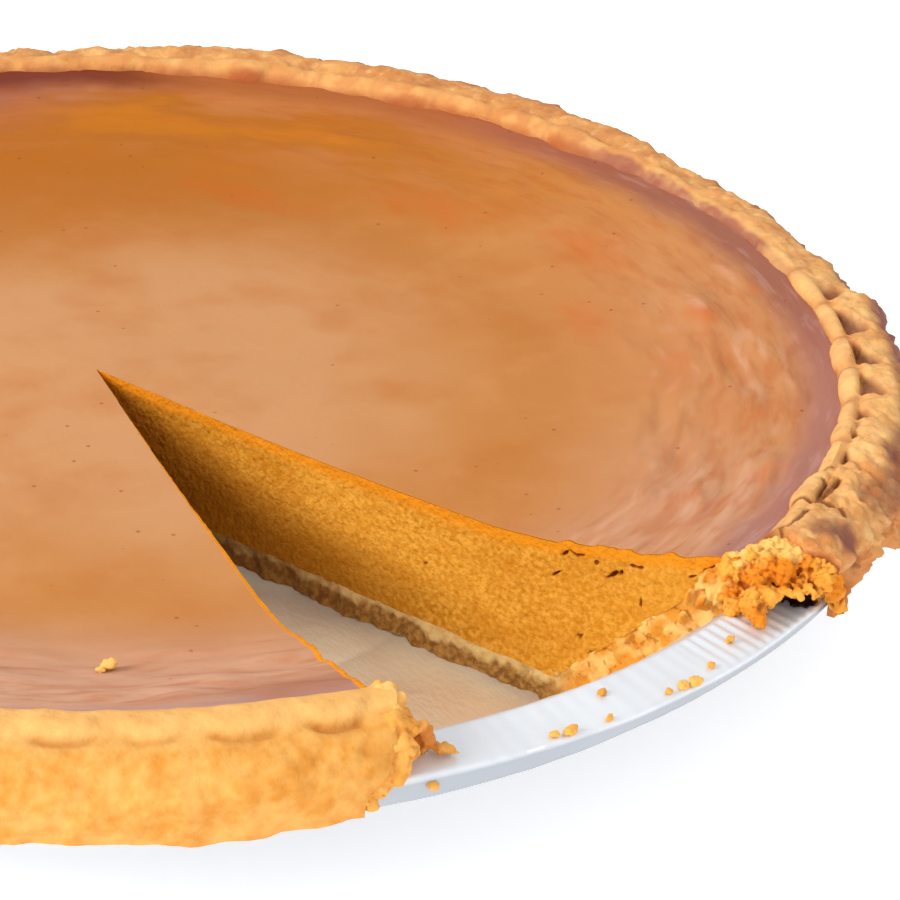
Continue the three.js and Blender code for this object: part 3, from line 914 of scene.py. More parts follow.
# %% the rim's section
RIM_FACE = [
    (105.7, 26.6),
    (109.2, 30.6),
    (109.9, 32.4),
    (110.6, 33.4),
    (111.9, 34.1),
    (114.4, 34.2),
    (117.0, 33.9),
    (118.9, 33.0),
    (120.6, 31.2),
    (121.6, 28.2),
    (121.2, 25.2),
    (120.9, 23.5),
]
RIM_BACK = [(110.4, 26.5), (112.1, 27.85), (119.7, 27.5), (119.7, 24.2)]


def line_place(corners, share):
    """The point a share of the way along a line, by its length."""
    corners = np.array(corners)
    steps = np.hypot(*np.diff(corners, axis=0).T)
    stops = np.concatenate([[0], np.cumsum(steps)]) / steps.sum()
    return np.interp(share, stops, corners[:, 0]), np.interp(share, stops, corners[:, 1])


def rim_section(across, up):
    """Where the rim's section lies, between its back and its face."""
    face, back = line_place(RIM_FACE, across), line_place(RIM_BACK, across)
    return back[0] * (1 - up) + face[0] * up, back[1] * (1 - up) + face[1] * up


rim_mesh = section_mesh(
    "crimped_rim",
    columns=70,
    rows=5,
    place=rim_section,
    zones=[(5, 8.02, 40), (25, 10, 22), (5, 8.02, 36)],
    is_hidden=lambda corners: all_start_at(corners, 1, 0),
)
print(len(rim_mesh.vertices), "vertices in the rim")

# %% [markdown]
# ## Crimps, petals and cracks
# Where one bead ends and the next starts is a list of angles: measured ones beside the
# slice, where the rim is seen closest, and evenly stepped ones with a little scatter round
# the rest. The relief moves each point along the section's own normal, so it wraps over the
# edge. Beside the slice the whole section is turned a little, more where it broke off later.

# %% where the crimps are
CRIMP_PITCH = 6.0
NOTCHES = [9.0, 14.6, 18.8, 22.7, 28.9, 34.1, 37.5, 41.4, 47.1, 53.0]
NEAR_NOTCHES = [318.4, 323.5, 328.6, 333.7, 338.7, 343.8, 349.0, 355.0, 361.0, 367.0]
scatter = np.random.default_rng(7)
while NOTCHES[-1] < 309:
    NOTCHES.append(NOTCHES[-1] + CRIMP_PITCH * (1 + 0.2 * scatter.uniform(-1, 1)))
NOTCHES = np.array(NOTCHES + NEAR_NOTCHES)
bead_in = scatter.uniform(-0.5, 0.5, len(NOTCHES))
bead_up = scatter.uniform(-0.35, 0.35, len(NOTCHES))
pit_deep = scatter.uniform(0.6, 1.2, len(NOTCHES))
petal_up = scatter.uniform(-0.3, 0.3, len(NOTCHES))
pit_deep[-10:-4] = (0.45, 0.65, 0.35, 0.6, 0.95, 0.1)

across, up = read_layer(rim_mesh, "across"), read_layer(rim_mesh, "up")
face_r, face_z = line_place(RIM_FACE, across)
ahead, behind_it = line_place(RIM_FACE, across + 0.02), line_place(RIM_FACE, across - 0.02)
run, rise = ahead[0] - behind_it[0], ahead[1] - behind_it[1]
size = np.hypot(run, rise)
normal_r, normal_z = -rise / size, run / size

points = read_points(rim_mesh)
_, degrees, _ = polar(points)
signed = signed_angle(degrees)
torn_back = np.interp(face_r, [106, 109, 111.7, 116.5, 121], [0, 1.6, 3.7, 2.8, 4.4])
shift = torn_back * (1 - ease(signed, SLICE_HALF, 30)) * (signed > 0)
undercut = 0.14 * np.maximum(0, face_r - 113) + 1.9 * ease(across, 0.70, 0.98)
shift -= undercut * (1 - ease(-signed, SLICE_HALF, 24)) * (signed < 0)
shift += 0.5 * noise(points, 2.6, 74) * (1 - ease(np.abs(signed), SLICE_HALF, 18))
degrees += shift
signed = signed_angle(degrees)
points = turned(face_r, degrees, face_z)

# parts of the rim, each from 0 to 1
near_left = window(-signed, -2, 2, 70, 100)
far_side = window(degrees, 60, 85, 280, 315)
by_tear = (1 - ease(signed, 22.3, 23.4)) * (signed > 0)
beside = window(signed, 22, 26, 60, 66)
plainer = window(signed, 61.0, 63.5, 88, 95)
crumbly = window(signed, 22.5, 24, 31, 34) * ease(face_r, 112.8, 113.6)
low_crumbly = ease(across, 0.62, 0.72) * (signed > 0) * (1 - ease(signed, 31, 34))
crumbly = np.maximum(crumbly, low_crumbly)
crimped = (1 - by_tear) * (1 - near_left)
print(len(NOTCHES), "notches between the beads")

# %% [markdown]
# ## Beads, pits and petals
# A bead is a dome, longer than it is wide, and a low ledge joins it to the next one. The pit
# behind it was pressed by a fingertip, and the petal is what the finger left standing. Along
# the front the baker pressed only shallow curved lines, which lie like smiles.

# %% beads, pits and petals
bend = (0.35 + 1.1 * far_side) * noise(points, 7, 61) + 0.22 * noise(points, 2.2, 62)
slant = degrees + bend
crimp = np.clip(np.searchsorted(NOTCHES, slant) - 1, 0, len(NOTCHES) - 2)
pitch = NOTCHES[crimp + 1] - NOTCHES[crimp]
length = np.radians(pitch) * face_r
along = (slant - NOTCHES[crimp]) / pitch * length
from_middle = np.abs(along - length / 2)
from_notch = length / 2 - from_middle

bead_middle = 111.1 + 0.5 * bead_in[crimp] + 0.5 * far_side * noise(points, 6, 78)
bead_half = 1.4 + 0.5 * bead_up[crimp] + 0.35 * far_side - 0.22 * beside
lobe_wide = np.abs(face_r - bead_middle) / bead_half
lobe_long = from_middle / (length / 2 - 0.25)
bead = np.sqrt(np.clip(1 - lobe_long**3.4 - lobe_wide**2.6, 0, 1))
ledge = np.sqrt(np.clip(1 - (lobe_wide * 1.1) ** 3, 0, 1))
bead = np.maximum(bead, (0.3 + 0.35 * far_side) * ledge) * (face_z > 30.5)
beyond = np.maximum(0, face_r - 112.5)
near_side = along - (1.2 + 0.35 * beyond)
back_side = length - 2.4 - 1.35 * beyond - along + 0.8 * noise(points, 2.6, 67)
open_pit = ease(np.minimum(near_side, back_side), -0.3, 1.0)
in_pits = window(face_r, 112.1, 112.9, 115.2, 116.8) * crimped
pit = pit_deep[crimp] * open_pit * in_pits * (1 - crumbly) * (1 - 0.8 * far_side)
pit *= 1 - window(signed, 22.0, 24.0, 30.0, 31.5)
pit *= 1 - 0.85 * plainer
fold = along - np.clip(3.4 - 0.5 * (face_r - 116), 1.5, 6)
fold = hump(fold, 0.5) * window(face_r, 115.0, 116.5, 119, 121)
petal = ease(face_r + 1.2 * far_side + 0.8 * plainer, 112.4, 113.6)
petal *= (1 - ease(face_r, 116.0, 120.5)) * (1 - 0.7 * crumbly)
petal *= 1 - 0.05 * np.clip(length - along, 0, 8)
crimping = np.maximum((1.15 + 0.9 * bead_up[crimp]) * bead, (0.9 + petal_up[crimp]) * petal)
crimping *= crimped * (1 + 0.5 * far_side * noise(points, 9, 79)) * (1 - 0.3 * plainer)
crimping -= (2.3 - 0.5 * (signed > 0)) * pit + 0.45 * fold * crimped
notch = hump(from_notch, 0.4) * (1 - ease(lobe_wide, 1.0, 1.5)) * crimped
notch = notch * (1 - 0.6 * far_side)
plain = window(face_r, 109.6, 111.0, 112.6, 116.0)
big_lump = np.exp(-(((face_r - 116.0) / 4.2) ** 4) - ((signed - 19.6) / 3.2) ** 4)
smile_line = face_r - (116.3 - 0.07 * from_middle**2 + 0.5 * noise(points, 4, 68))
smile_span = (1 - ease(from_middle, 2.2, 4.6)) * near_left
smile = pit_deep[crimp] * hump(smile_line, np.where(smile_line < 0, 0.40, 0.85))
smile *= smile_span
above = 0.45 * hump(smile_line + 1.7, 1.2) * smile_span
print("deepest pit", round(pit.max(), 2), "and deepest smile", round(smile.max(), 2))

# %% [markdown]
# ## Lumps, flakes and shards
# Over the crimps lies what the dough did by itself: soft lumps of several sizes, flakes on
# the outer side, and sharp shards where it is crumbly. The front is the smoothest part.

# %% lumps, flakes and shards
outer = ease(across, 0.50, 0.72)
fine = 1 - 0.5 * near_left
lumps = rough(points, 8.0, 63, 3) * (0.34 + 0.5 * outer)
lumps += rough(points, 3.4, 64, 3) * (0.34 + 0.30 * outer) * fine
flakes = ease(grains(points * np.array([1, 1, 1.5]), 3.4, 66), 0.25, 0.8)
lumps += 0.32 * flakes * outer * fine
lumps += (0.16 + 0.35 * crumbly) * rough(points, 1.3, 65, 2) * fine**2
shards = grains(points, 2.2, 69, angular=True) - 0.4
flaky = ease(face_r, 112.4, 113.4) * crimped * (1 - 0.4 * far_side)
flaky = np.maximum(flaky, by_tear * ease(face_r, 111.0, 112.5))
lumps -= flaky * (0.6 * shards - 0.35 * rough(points, 1.5, 80, 2))
lumps -= (0.12 + 0.8 * crumbly + 0.35 * outer) * shards * fine
lumps += far_side * (0.35 * noise(points, 4.4, 77) - 0.25 * shards)
lumps += 0.8 * plainer * noise(points, 4.6, 83)
relief = crimping + (0.9 * plain + above) * near_left - 0.8 * smile
relief += 1.5 * big_lump * (1 - near_left) + lumps * ease(across, 0.2, 0.32)
print("relief of the rim from", round(relief.min(), 2), "to", round(relief.max(), 2), "mm")

# %% [markdown]
# ## Cracks and the uneven skirt
# Short pastry cracks as it bakes. Each crack is a crooked line over the rim, pressed in as
# a narrow groove. The skirt, the rim's lowest part, hangs over the tin's lip in shallow
# waves. The whole rim also rises and falls a little round the pie.

# %% cracks, waves and the skirt
RIM_MIDDLE = 114
CRACKS = [
    # corners of each crack: distance, angle
    [(109.9, 23.2), (113.2, 23.8), (115.5, 24.3), (117.4, 23.7)],
    [(112.2, 26.8), (113.2, 23.8)],
    [(110.0, 28.8), (112.8, 29.7), (114.6, 29.3)],
    [(112.3, 18.9), (113.4, 20.6), (113.0, 22.4)],
    [(113.3, 24.3), (113.6, 27.6)],
]
crack_depth = np.zeros(len(points))
warp = 0.35 * noise(points, 1.6, 71)
for corners in CRACKS:
    middle_angle = np.mean([angle for _, angle in corners])
    flat = [(r, math.radians(a - middle_angle) * RIM_MIDDLE) for r, a in corners]
    sideways = np.radians(signed_angle(degrees - middle_angle)) * RIM_MIDDLE
    gap = line_distance(face_r + warp, sideways + warp, flat)
    crack_depth = np.maximum(crack_depth, hump(gap, 0.42))
relief -= 0.7 * crack_depth

WAVE_COUNT, WAVE_START = 4, 117
wave = np.cos(np.radians(WAVE_COUNT * (degrees - WAVE_START)))
risen = ease(face_r, 109.6, 112.5) * ease(face_z, 30, 33)
round_place = np.stack([degrees * 2.1, 0 * degrees, 0 * degrees], -1)
ripple = noise(round_place, 10, 72) + 0.4 * noise(round_place, 3.5, 73)
skirt = ease(across, 0.80, 1.0)
short_skirt = window(signed, 18.6, 20.6, 28.0, 30.5) * ease(across, 0.62, 1.0)
new_r = face_r + normal_r * relief + 0.55 * wave * ease(face_r, 118, 120.5)
new_z = face_z + normal_z * relief + 0.55 * wave * risen - 1.0 * ripple * skirt
new_r -= 0.35 * skirt + 0.6 * short_skirt
new_z += 3.3 * short_skirt
low_skirt = 1.3 * hump(signed + 22.5, 4.5) + 0.7 * hump(signed + 40, 5)
new_z -= low_skirt * skirt
far_bump = window(signed, 88, 98, 138, 152)
shoulder = ease(face_r, 112.5, 116.5) * ease(face_z, 27.5, 31.5)
new_z += 1.3 * far_bump * shoulder
new_r += 0.9 * far_bump * ease(across, 0.45, 0.8)
jag = hump(signed - 60.0, 1.0) - 0.1 * plainer
new_z += 0.9 * jag * shoulder
new_r += 1.1 * jag * ease(face_r, 114.5, 118)
TOP_SOFT, TOP_SHARE = 35.5, 0.45
new_z = np.where(new_z > TOP_SOFT, TOP_SOFT + (new_z - TOP_SOFT) * TOP_SHARE, new_z)
back_r, back_z = line_place(RIM_BACK, across)
new_r = back_r * (1 - up) + new_r * up
new_z = back_z * (1 - up) + new_z * up
points = turned(new_r, degrees, new_z)
write_points(rim_mesh, points)
print("rim from", points.min(0).round(1), "to", points.max(0).round(1))

# %% [markdown]
# ## What the rim tells its finish
# The shader can't know what was raised or pressed, so the rim keeps it at each vertex: the
# raised parts, the dents, the smiles, the cracks, and how scorched its outer edge is.

# %% the rim's painted places
write_layer(rim_mesh, "raised", np.clip(np.maximum(bead, 0.7 * petal) * crimped, 0, 1))
write_layer(rim_mesh, "dent", np.clip(1.5 * pit + 0.6 * notch, 0, 1))
write_layer(rim_mesh, "smile", np.clip(smile, 0, 1))
scorch = ease(face_r + 1.1 * rough(points, 5, 75, 3), 116.9, 119.2) * (1 - ease(across, 0.70, 0.84))
scorch *= 0.8 * ease(signed, 22, 32) + 0.6 * ease(-signed, 100, 130)
SCORCHED = [
    # distance, angle, reach, amount
    (117.3, 20.2, 2.8, 0.75),
    (118.9, 21.0, 2.8, 1.0),
    (119.2, 34.0, 4.0, 1.0),
    (118.4, 27.6, 3.0, 0.7),
    (119.5, 48.0, 3.0, 0.8),
]
for where, angle, reach, amount in SCORCHED:
    gap = np.hypot(face_r - where, np.radians(signed - angle) * where * 0.8) / reach
    gap += 0.4 * rough(points, 1.6, 76, 3)
    scorch = np.maximum(scorch, amount * (1 - ease(gap, 0.3, 1.0)))
write_layer(rim_mesh, "scorch", np.clip(scorch, 0, 1))
write_layer(rim_mesh, "crack", np.clip(crack_depth, 0, 1))
print("scorched vertices:", int((scorch > 0.5).sum()))

# %% [markdown]
# ## The pastry's finish
# Short pastry bakes from cream to deep gold: palest on the plump beads, browner out at the edge,
# and orange where butter has fried its broken ends; the pits are painted darker still, as shade.
# Every pastry piece shares one finish with the same grain, so they match where they meet, and a
# function for each kind of piece lays its own colours over it.


# %% the grain of all pastry
def pastry(name, colours, depth=0.22):
    """The pastry finish: colours gives the colour and any coarser relief."""
    dough = Finish(name)
    base, coarse = colours(dough)
    grain = dough.noise(0.7, 4)
    height = grain * 1.1 + dough.noise(2.2, 3) * 0.9 + coarse
    return dough.done(base, 0.62 + 0.2 * grain, height, depth, {"Specular IOR Level": 0.2})


def mottled(dough, darker, lighter):
    """Two shades of dough in soft patches."""
    return dough.blend(dough.patches(2.6, 4, 0.3, 0.7), colour(*darker), colour(*lighter))


# %% [markdown]
# The rim has the most to say. First comes the plain dough, yellower along the front, then the
# toasted and floury places of its outer side, then painted shade on its inner side, and last
# painted highlights on the beads and painted shade in whatever was pressed in.


# %% the rim's colours
def rim_dough(dough, near, far):
    """The rim's dough before anything is toasted or stained."""
    x, y, z = dough.axes()
    shades = 0.55 * dough.noise(2.4, 4, offset=0.7) + 0.45 * dough.noise(0.8, 4, offset=0.3)
    yellow = dough.blend(dough.fade(shades, 0.32, 0.66), colour(209, 135, 47), colour(226, 167, 86))
    cloud = dough.patches(10, 2, 0.4, 0.65, offset=0.5)
    base = mottled(dough, (206, 136, 74), (230, 176, 110))
    base = dough.blend(near, dough.paint(base, (cloud * 0.3, (230, 168, 90))), yellow)
    aside = dough.fade(x, 0.085, 0.105) * dough.fade(y, -0.055, -0.02)
    low_right = dough.fade(x, 0.01, 0.04) * (1 - dough.fade(z, 0.0285, 0.0325))
    return dough.paint(
        base,
        (dough.layer("raised") * 0.5, (236, 186, 122)),
        (aside * 0.35, (200, 128, 78)),
        (far * 0.6, (200, 124, 60)),
        (low_right * 0.55, (186, 104, 46)),
    )


def rim_inside_shade(dough, base, far):
    """Painted shade on the rim's inner side, under the beads at the back and at its foot on the
    right, and how much of the first there is.
    """
    x, y, _ = dough.axes()
    middle = dough.from_axis()
    # painted shade under the beads at the back
    under_bead_shade = (1 - dough.fade(middle, 0.1086, 0.1101)) * far
    browner = dough.blend(dough.fade(x, 0.058, 0.076), colour(150, 72, 40), colour(168, 84, 40))
    # painted shade at the rim's foot on the right
    foot_shade_right = (1 - dough.fade(middle, 0.1102, 0.1112)) * dough.fade(x, 0.098, 0.106)
    foot_shade_right = foot_shade_right * dough.window(y, -0.055, -0.040, 0.005, 0.020)
    base = dough.blend(under_bead_shade * 0.85, base, browner)
    return dough.paint(base, (foot_shade_right * 0.8, (152, 88, 76))), under_bead_shade


def rim_colours(dough):
    """All of the rim's colours, and the crumbling of its outer side as relief."""
    x, y, z = dough.axes()
    middle = dough.from_axis()
    near = (1 - dough.fade(x, -0.005, 0.02)) * (1 - dough.fade(y, -0.07, -0.02))
    far = dough.fade(y + 0.5 * x, 0.0, 0.09)
    scorch = dough.layer("scorch")
    toast = dough.blend(far, colour(116, 62, 58), colour(158, 94, 54))
    base = dough.blend(scorch * 0.85, rim_dough(dough, near, far), toast)
    outward = dough.fade(middle, 0.1118, 0.1132) * (1 - near)
    crumble = dough.noise(1.1, 5, offset=0.4)
    floury = (1 - dough.fade(crumble, 0.32, 0.48)) * outward * dough.fade(z, 0.0290, 0.0325)
    specked = dough.patches(0.9, 3, 0.56, 0.72, offset=0.8) * (1 - 0.8 * near)
    base = dough.paint(
        base,
        (near * dough.fade(z, 0.0330, 0.0342) * 0.5, (240, 190, 118)),
        (specked * 0.35, (196, 112, 44)),
        (dough.fade(crumble, 0.50, 0.68) * outward * 0.4, (184, 110, 52)),
        (floury * (1 - scorch) * 0.45, (238, 194, 130)),
    )
    base, under_bead_shade = rim_inside_shade(dough, base, far)
    edge = dough.fade(middle, 0.1180, 0.1200) * dough.fade(x, 0.070, 0.082)
    edge = edge * (1 - dough.fade(y, -0.060, -0.046)) * dough.fade(crumble, 0.30, 0.50)
    # painted highlights on the beads' tops
    bead_highlights = dough.patches(2.4, 2, 0.42, 0.64, offset=0.1) * (1 - near)
    bead_highlights = bead_highlights * dough.layer("raised") * (1 - under_bead_shade)
    base = dough.paint(
        base,
        (edge * 0.7, (140, 82, 84)),
        (bead_highlights * 0.4, (244, 194, 116)),
        # painted shade in the pits, notches, smiles and cracks
        (dough.layer("dent") * 0.75, (124, 62, 50)),
        (dough.layer("smile") * 0.75, (172, 98, 34)),
        (dough.fade(dough.layer("crack"), 0.2, 0.8) * 0.8, (116, 56, 20)),
    )
    return base, crumble * outward * 1.6


finish_piece(rim_mesh, "pastry_crust", pastry("golden rim", rim_colours))


# %% [markdown]
# The shell's cut ends show two layers, cream where the custard kept the dough moist and brown and
# crumbly where it lay on the hot tin, and both are painted darker towards the tip as shade. On the
# slope it is baked golden all through.


# %% the shell's colours
def shell_colours(dough):
    """The shell's two layers, painted darker towards the middle as shade, and golden on the slope.
    """
    middle = dough.from_axis()
    height = dough.axes()[2]
    uneven = (dough.noise(2.4, 4) - 0.5) * 0.0042
    uneven = uneven + (dough.noise(0.8, 3, offset=0.6) - 0.5) * 0.0022
    flecks = dough.patches(0.9, 3, 0.42, 0.66, offset=0.9)
    cream = dough.blend(flecks * 0.6, colour(222, 188, 124), colour(190, 138, 74))
    coarse_grain = dough.patches(0.5, 4, 0.35, 0.65)
    brown = dough.blend(coarse_grain, colour(128, 82, 32), colour(172, 124, 60))
    layers = dough.blend(dough.fade(height + uneven, 0.0028, 0.0040) * 0.85, brown, cream)
    # painted shade towards the tip
    inner = 1 - dough.fade(middle, 0.020, 0.066)
    layers = dough.paint(layers, (inner * 0.62, (110, 70, 22)))
    paler = dough.patches(1.5, 4, 0.42, 0.64, offset=0.3)
    gaps = dough.patches(0.7, 4, 0.58, 0.68, offset=0.6)
    golden = dough.blend(paler, colour(212, 138, 42), colour(234, 184, 104))
    golden = dough.paint(golden, (gaps * 0.7, (160, 92, 20)))
    return dough.blend(dough.fade(middle, 0.0835, 0.0885), layers, golden), 0.0


shell_finish = pastry("pastry shell", shell_colours, 0.4)
finish_piece(shell_mesh, "pastry_crust", shell_finish)

# %% [markdown]
# ## The torn ends
# Beside the slice the rim has broken, not been cut, into a cliff of crumbly chunks. Each
# chunk starts as an icosphere pushed out of round. A Remesh modifier then melts them into
# one skin, as crumb sticks together, and a last layer of noise gives the broken surface.


# %% chunks melted together
def chunk(shape, middle, half, seed, detail=3):
    """Adds one uneven lump of crumb to a bmesh."""
    made = bmesh.ops.create_icosphere(shape, subdivisions=detail, radius=1)["verts"]
    corners = np.array([v.co for v in made])
    swell = 1 + 0.30 * noise(corners, 0.9, seed) + 0.16 * noise(corners, 0.45, seed + 1)
    swell += 0.55 * (0.45 - grains(corners, 0.9, seed + 2, angular=True))
    tilt = Matrix.Rotation(seed * 1.7, 3, Vector((seed % 3 - 1, 1, seed % 2)))
    for vert, grow in zip(made, swell):
        out = tilt @ (vert.co * float(grow))
        vert.co = (Vector(middle) + Vector([o * h for o, h in zip(out, half)])) * MM
    return made


def melted(name, lumps, voxel, roughness, seed):
    """One mesh from many (distance, angle, height, half sizes) lumps."""
    shape = bmesh.new()
    for n, (where, angle, level, half) in enumerate(lumps):
        chunk(shape, turned(where, angle, level), half, seed + 3 * n)
    loose = mesh_of(shape, name + "_lumps")
    holder = bpy.data.objects.new(name + "_lumps", loose)
    bpy.context.scene.collection.objects.link(holder)
    melt = holder.modifiers.new("melt", "REMESH")
    melt.mode = "VOXEL"
    melt.voxel_size = voxel * MM
    seen = holder.evaluated_get(bpy.context.evaluated_depsgraph_get())
    mesh = bpy.data.meshes.new_from_object(seen)
    mesh.name = name
    bpy.data.objects.remove(holder)
    points = read_points(mesh)
    normals = np.empty(3 * len(points))
    mesh.vertices.foreach_get("normal", normals)
    normals = normals.reshape(-1, 3)
    crumbs = 0.5 - grains(points, 2.3, seed, angular=True)
    crumbs += 1.1 * (0.5 - grains(points, 1.15, seed + 5, angular=True))
    crumbs += 0.5 * (0.5 - grains(points, 0.65, seed + 7, angular=True))
    push = roughness * (crumbs + 0.45 * rough(points, 0.7, seed + 9, 2))
    push *= 0.30 + 0.70 * ease(np.hypot(points[:, 0], points[:, 1]), 108.5, 111.0)
    points += normals * push[:, None]
    write_points(mesh, points)
    write_layer(mesh, "hollow", np.clip(0.5 - push / roughness, 0, 1))
    return mesh


# %% [markdown]
# The right end is the one that broke open. Its main chunks are placed one by one, because
# their outline is what shows, and many small ones are scattered over the broken face.

# %% the right end's chunks
RIGHT_LUMPS = [
    # distance, angle, height, half sizes
    # the broken edge of the rim's top, from the filling outwards
    (109.3, 15.6, 32.2, (1.3, 1.1, 0.9)),
    (110.8, 16.4, 33.0, (1.4, 1.2, 0.9)),
    (112.4, 17.4, 33.8, (1.5, 1.4, 0.9)),
    (114.0, 17.7, 33.9, (1.5, 1.4, 0.8)),
    (115.6, 17.5, 33.4, (1.5, 1.4, 0.9)),
    (117.3, 17.8, 32.7, (1.5, 1.3, 0.9)),
    (118.9, 18.3, 32.0, (1.5, 1.3, 0.9)),
    # the face of the break
    (111.0, 16.0, 31.2, (2.2, 1.6, 1.9)),
    (113.2, 16.7, 31.8, (2.2, 1.7, 2.1)),
    (115.4, 16.7, 31.7, (2.2, 1.6, 1.9)),
    (117.4, 17.7, 31.4, (1.9, 1.3, 1.3)),
    (109.4, 15.0, 30.1, (1.6, 1.0, 1.8)),
    (111.2, 14.9, 29.3, (1.7, 1.2, 1.5)),
    (113.2, 15.2, 29.5, (1.8, 1.4, 1.7)),
    (115.0, 15.0, 29.3, (1.4, 1.4, 1.6)),
    (107.9, 14.8, 29.0, (1.2, 0.7, 1.4)),
    # the block that overhangs at the outside
    (119.5, 17.9, 30.5, (2.0, 1.5, 1.8)),
    (120.9, 18.4, 29.3, (1.6, 1.3, 1.8)),
    (121.4, 18.8, 27.6, (1.1, 1.0, 1.5)),
    (121.8, 19.1, 26.2, (0.7, 0.7, 0.9)),
    # rubble that has slid down on to the flange
    (110.6, 13.8, 28.3, (1.2, 1.0, 1.0)),
    (112.4, 13.3, 28.3, (1.3, 1.1, 1.0)),
    (114.2, 13.6, 28.7, (1.3, 1.1, 1.3)),
    (115.8, 13.3, 28.9, (1.3, 1.1, 1.6)),
    (116.6, 12.7, 28.2, (1.0, 0.9, 0.8)),
    # pale crust beside the filling
    (108.6, 14.5, 28.2, (1.9, 0.8, 1.7)),
    (106.6, 14.7, 28.4, (2.0, 0.6, 1.4)),
    (104.9, 14.9, 25.6, (1.6, 0.6, 1.5)),
    (103.7, 15.0, 21.8, (1.1, 0.5, 1.4)),
    (101.4, 15.0, 18.6, (0.9, 0.5, 1.1)),
    (107.4, 14.6, 26.2, (2.0, 0.7, 1.3)),
    (109.6, 14.3, 27.4, (1.6, 0.9, 0.9)),
    # what the hole under the block ends against
    (118.2, 18.6, 28.6, (2.6, 0.9, 1.9)),
    (117.8, 17.6, 27.3, (2.0, 1.7, 0.3)),
    (115.9, 17.3, 28.8, (1.6, 1.2, 1.6)),
]


def break_angle(where, level):
    """The angle of the broken face, which leans out towards its foot."""
    outwards = [106, 110, 113, 118, 122]
    top = np.interp(where, outwards, [14.5, 15.1, 16.2, 17.5, 18.4])
    foot = np.interp(where, outwards, [14.3, 13.7, 13.3, 13.2, 15.0])
    return foot + (top - foot) * ease(level, 28.0, 32.0)


RIGHT_LUMP_COUNT = 120
dice = np.random.default_rng(21)
while len(RIGHT_LUMPS) < RIGHT_LUMP_COUNT:
    where, level = dice.uniform(107.0, 121.0), dice.uniform(28.4, 33.6)
    in_hole = abs(where - 118.6) < 3.0 and level < 30.0
    if not in_hole and level < 34.4 - 0.25 * abs(where - 113):
        angle = break_angle(where, level) + dice.uniform(-0.2, 0.4)
        half = dice.uniform(0.35, 0.9)
        shape_of = (half * dice.uniform(0.7, 1.3), half, half * dice.uniform(0.7, 1.3))
        RIGHT_LUMPS.append((where, angle, level, shape_of))
right_end = melted("torn_end_right", RIGHT_LUMPS, voxel=0.17, roughness=0.72, seed=100)
print(len(RIGHT_LUMPS), "chunks in the right end")

# %% [markdown]
# The left end is rounder: fewer and larger chunks that melt into a smooth, bulging edge.

# %% the left end's chunks
LEFT_LUMPS = [
    # distance, angle, height, half sizes
    (110.4, 344.7, 32.6, (1.5, 1.6, 1.5)),
    (112.4, 344.9, 32.9, (2.0, 1.8, 1.7)),
    (114.4, 344.9, 32.3, (2.1, 1.9, 1.9)),
    (116.2, 344.8, 31.3, (2.3, 2.0, 2.1)),
    (117.6, 344.7, 30.0, (2.0, 2.0, 2.0)),
    (118.5, 344.2, 28.4, (1.7, 1.9, 1.9)),
    (119.0, 343.4, 26.8, (1.3, 1.6, 1.5)),
    (119.3, 342.6, 25.2, (1.0, 1.5, 1.2)),
    (113.6, 345.1, 30.4, (2.6, 1.8, 2.6)),
    (111.4, 345.0, 29.2, (2.0, 1.4, 2.2)),
    (109.2, 344.9, 29.4, (1.6, 0.9, 2.0)),
    (106.8, 344.9, 26.6, (1.2, 0.6, 1.8)),
    (104.6, 344.9, 23.6, (1.1, 0.5, 1.8)),
    (111.4, 345.2, 33.7, (1.3, 0.9, 0.9)),
    (113.2, 345.5, 33.6, (0.9, 0.8, 0.8)),
    # a toasted block that leans against it, and a flake on the flange
    (115.6, 346.6, 28.9, (1.0, 1.1, 1.9)),
    (115.7, 346.5, 30.6, (0.9, 1.0, 1.1)),
    (116.4, 347.4, 27.9, (0.8, 1.5, 0.45)),
    (116.7, 348.1, 27.8, (0.6, 1.4, 0.4)),
]
left_end = melted("torn_end_left", LEFT_LUMPS, voxel=0.2, roughness=0.26, seed=300)
print(len(LEFT_LUMPS), "chunks in the left end")

# %% [markdown]
# ## The torn ends' finish
# Broken crumb is palest where it is freshly torn and deep orange in its hollows, where the darker
# orange is painted shade; the hole under the overhanging block and the block's underside are
# painted nearly black as shade. The hollows come from the last layer of noise, and the shaded,
# toasted and pale places are named by where they are.


# %% shaded, toasted and pale places
def warmth(mesh, toast_and_shade_places, pale_places):
    """Keeps each point's toast and painted shade, and how pale it is, for a torn end."""
    points = read_points(mesh)
    for name, places in (("toast_and_hole_shade", toast_and_shade_places), ("pale", pale_places)):
        share = np.zeros(len(points))
        for where, angle, level, reach in places:
            gap = np.linalg.norm(points - turned(where, angle, level), axis=1)
            gap += 0.5 * noise(points, 1.1, 8)
            share = np.maximum(share, 1 - ease(gap, 0.55 * reach, reach))
        write_layer(mesh, name, share)


warmth(
    right_end,
    # painted shade in the hole under the block and under the block's foot
    [(117.8, 17.0, 27.9, 3.6), (116.6, 16.8, 28.0, 2.2), (122.0, 19.2, 25.6, 0.8)],
    [
        (106.3, 15.0, 27.9, 3.4),
        (104.6, 15.2, 24.5, 3.2),
        (108.6, 14.2, 28.2, 2.6),
        (102.0, 15.0, 20.0, 2.4),
        (112.0, 17.0, 34.2, 2.8),
        (115.3, 17.6, 34.0, 2.4),
        (109.8, 15.6, 32.8, 2.0),
    ],
)
warmth(left_end, [(115.8, 346.8, 29.6, 2.5)], [(112.6, 345.0, 34.4, 2.4)])


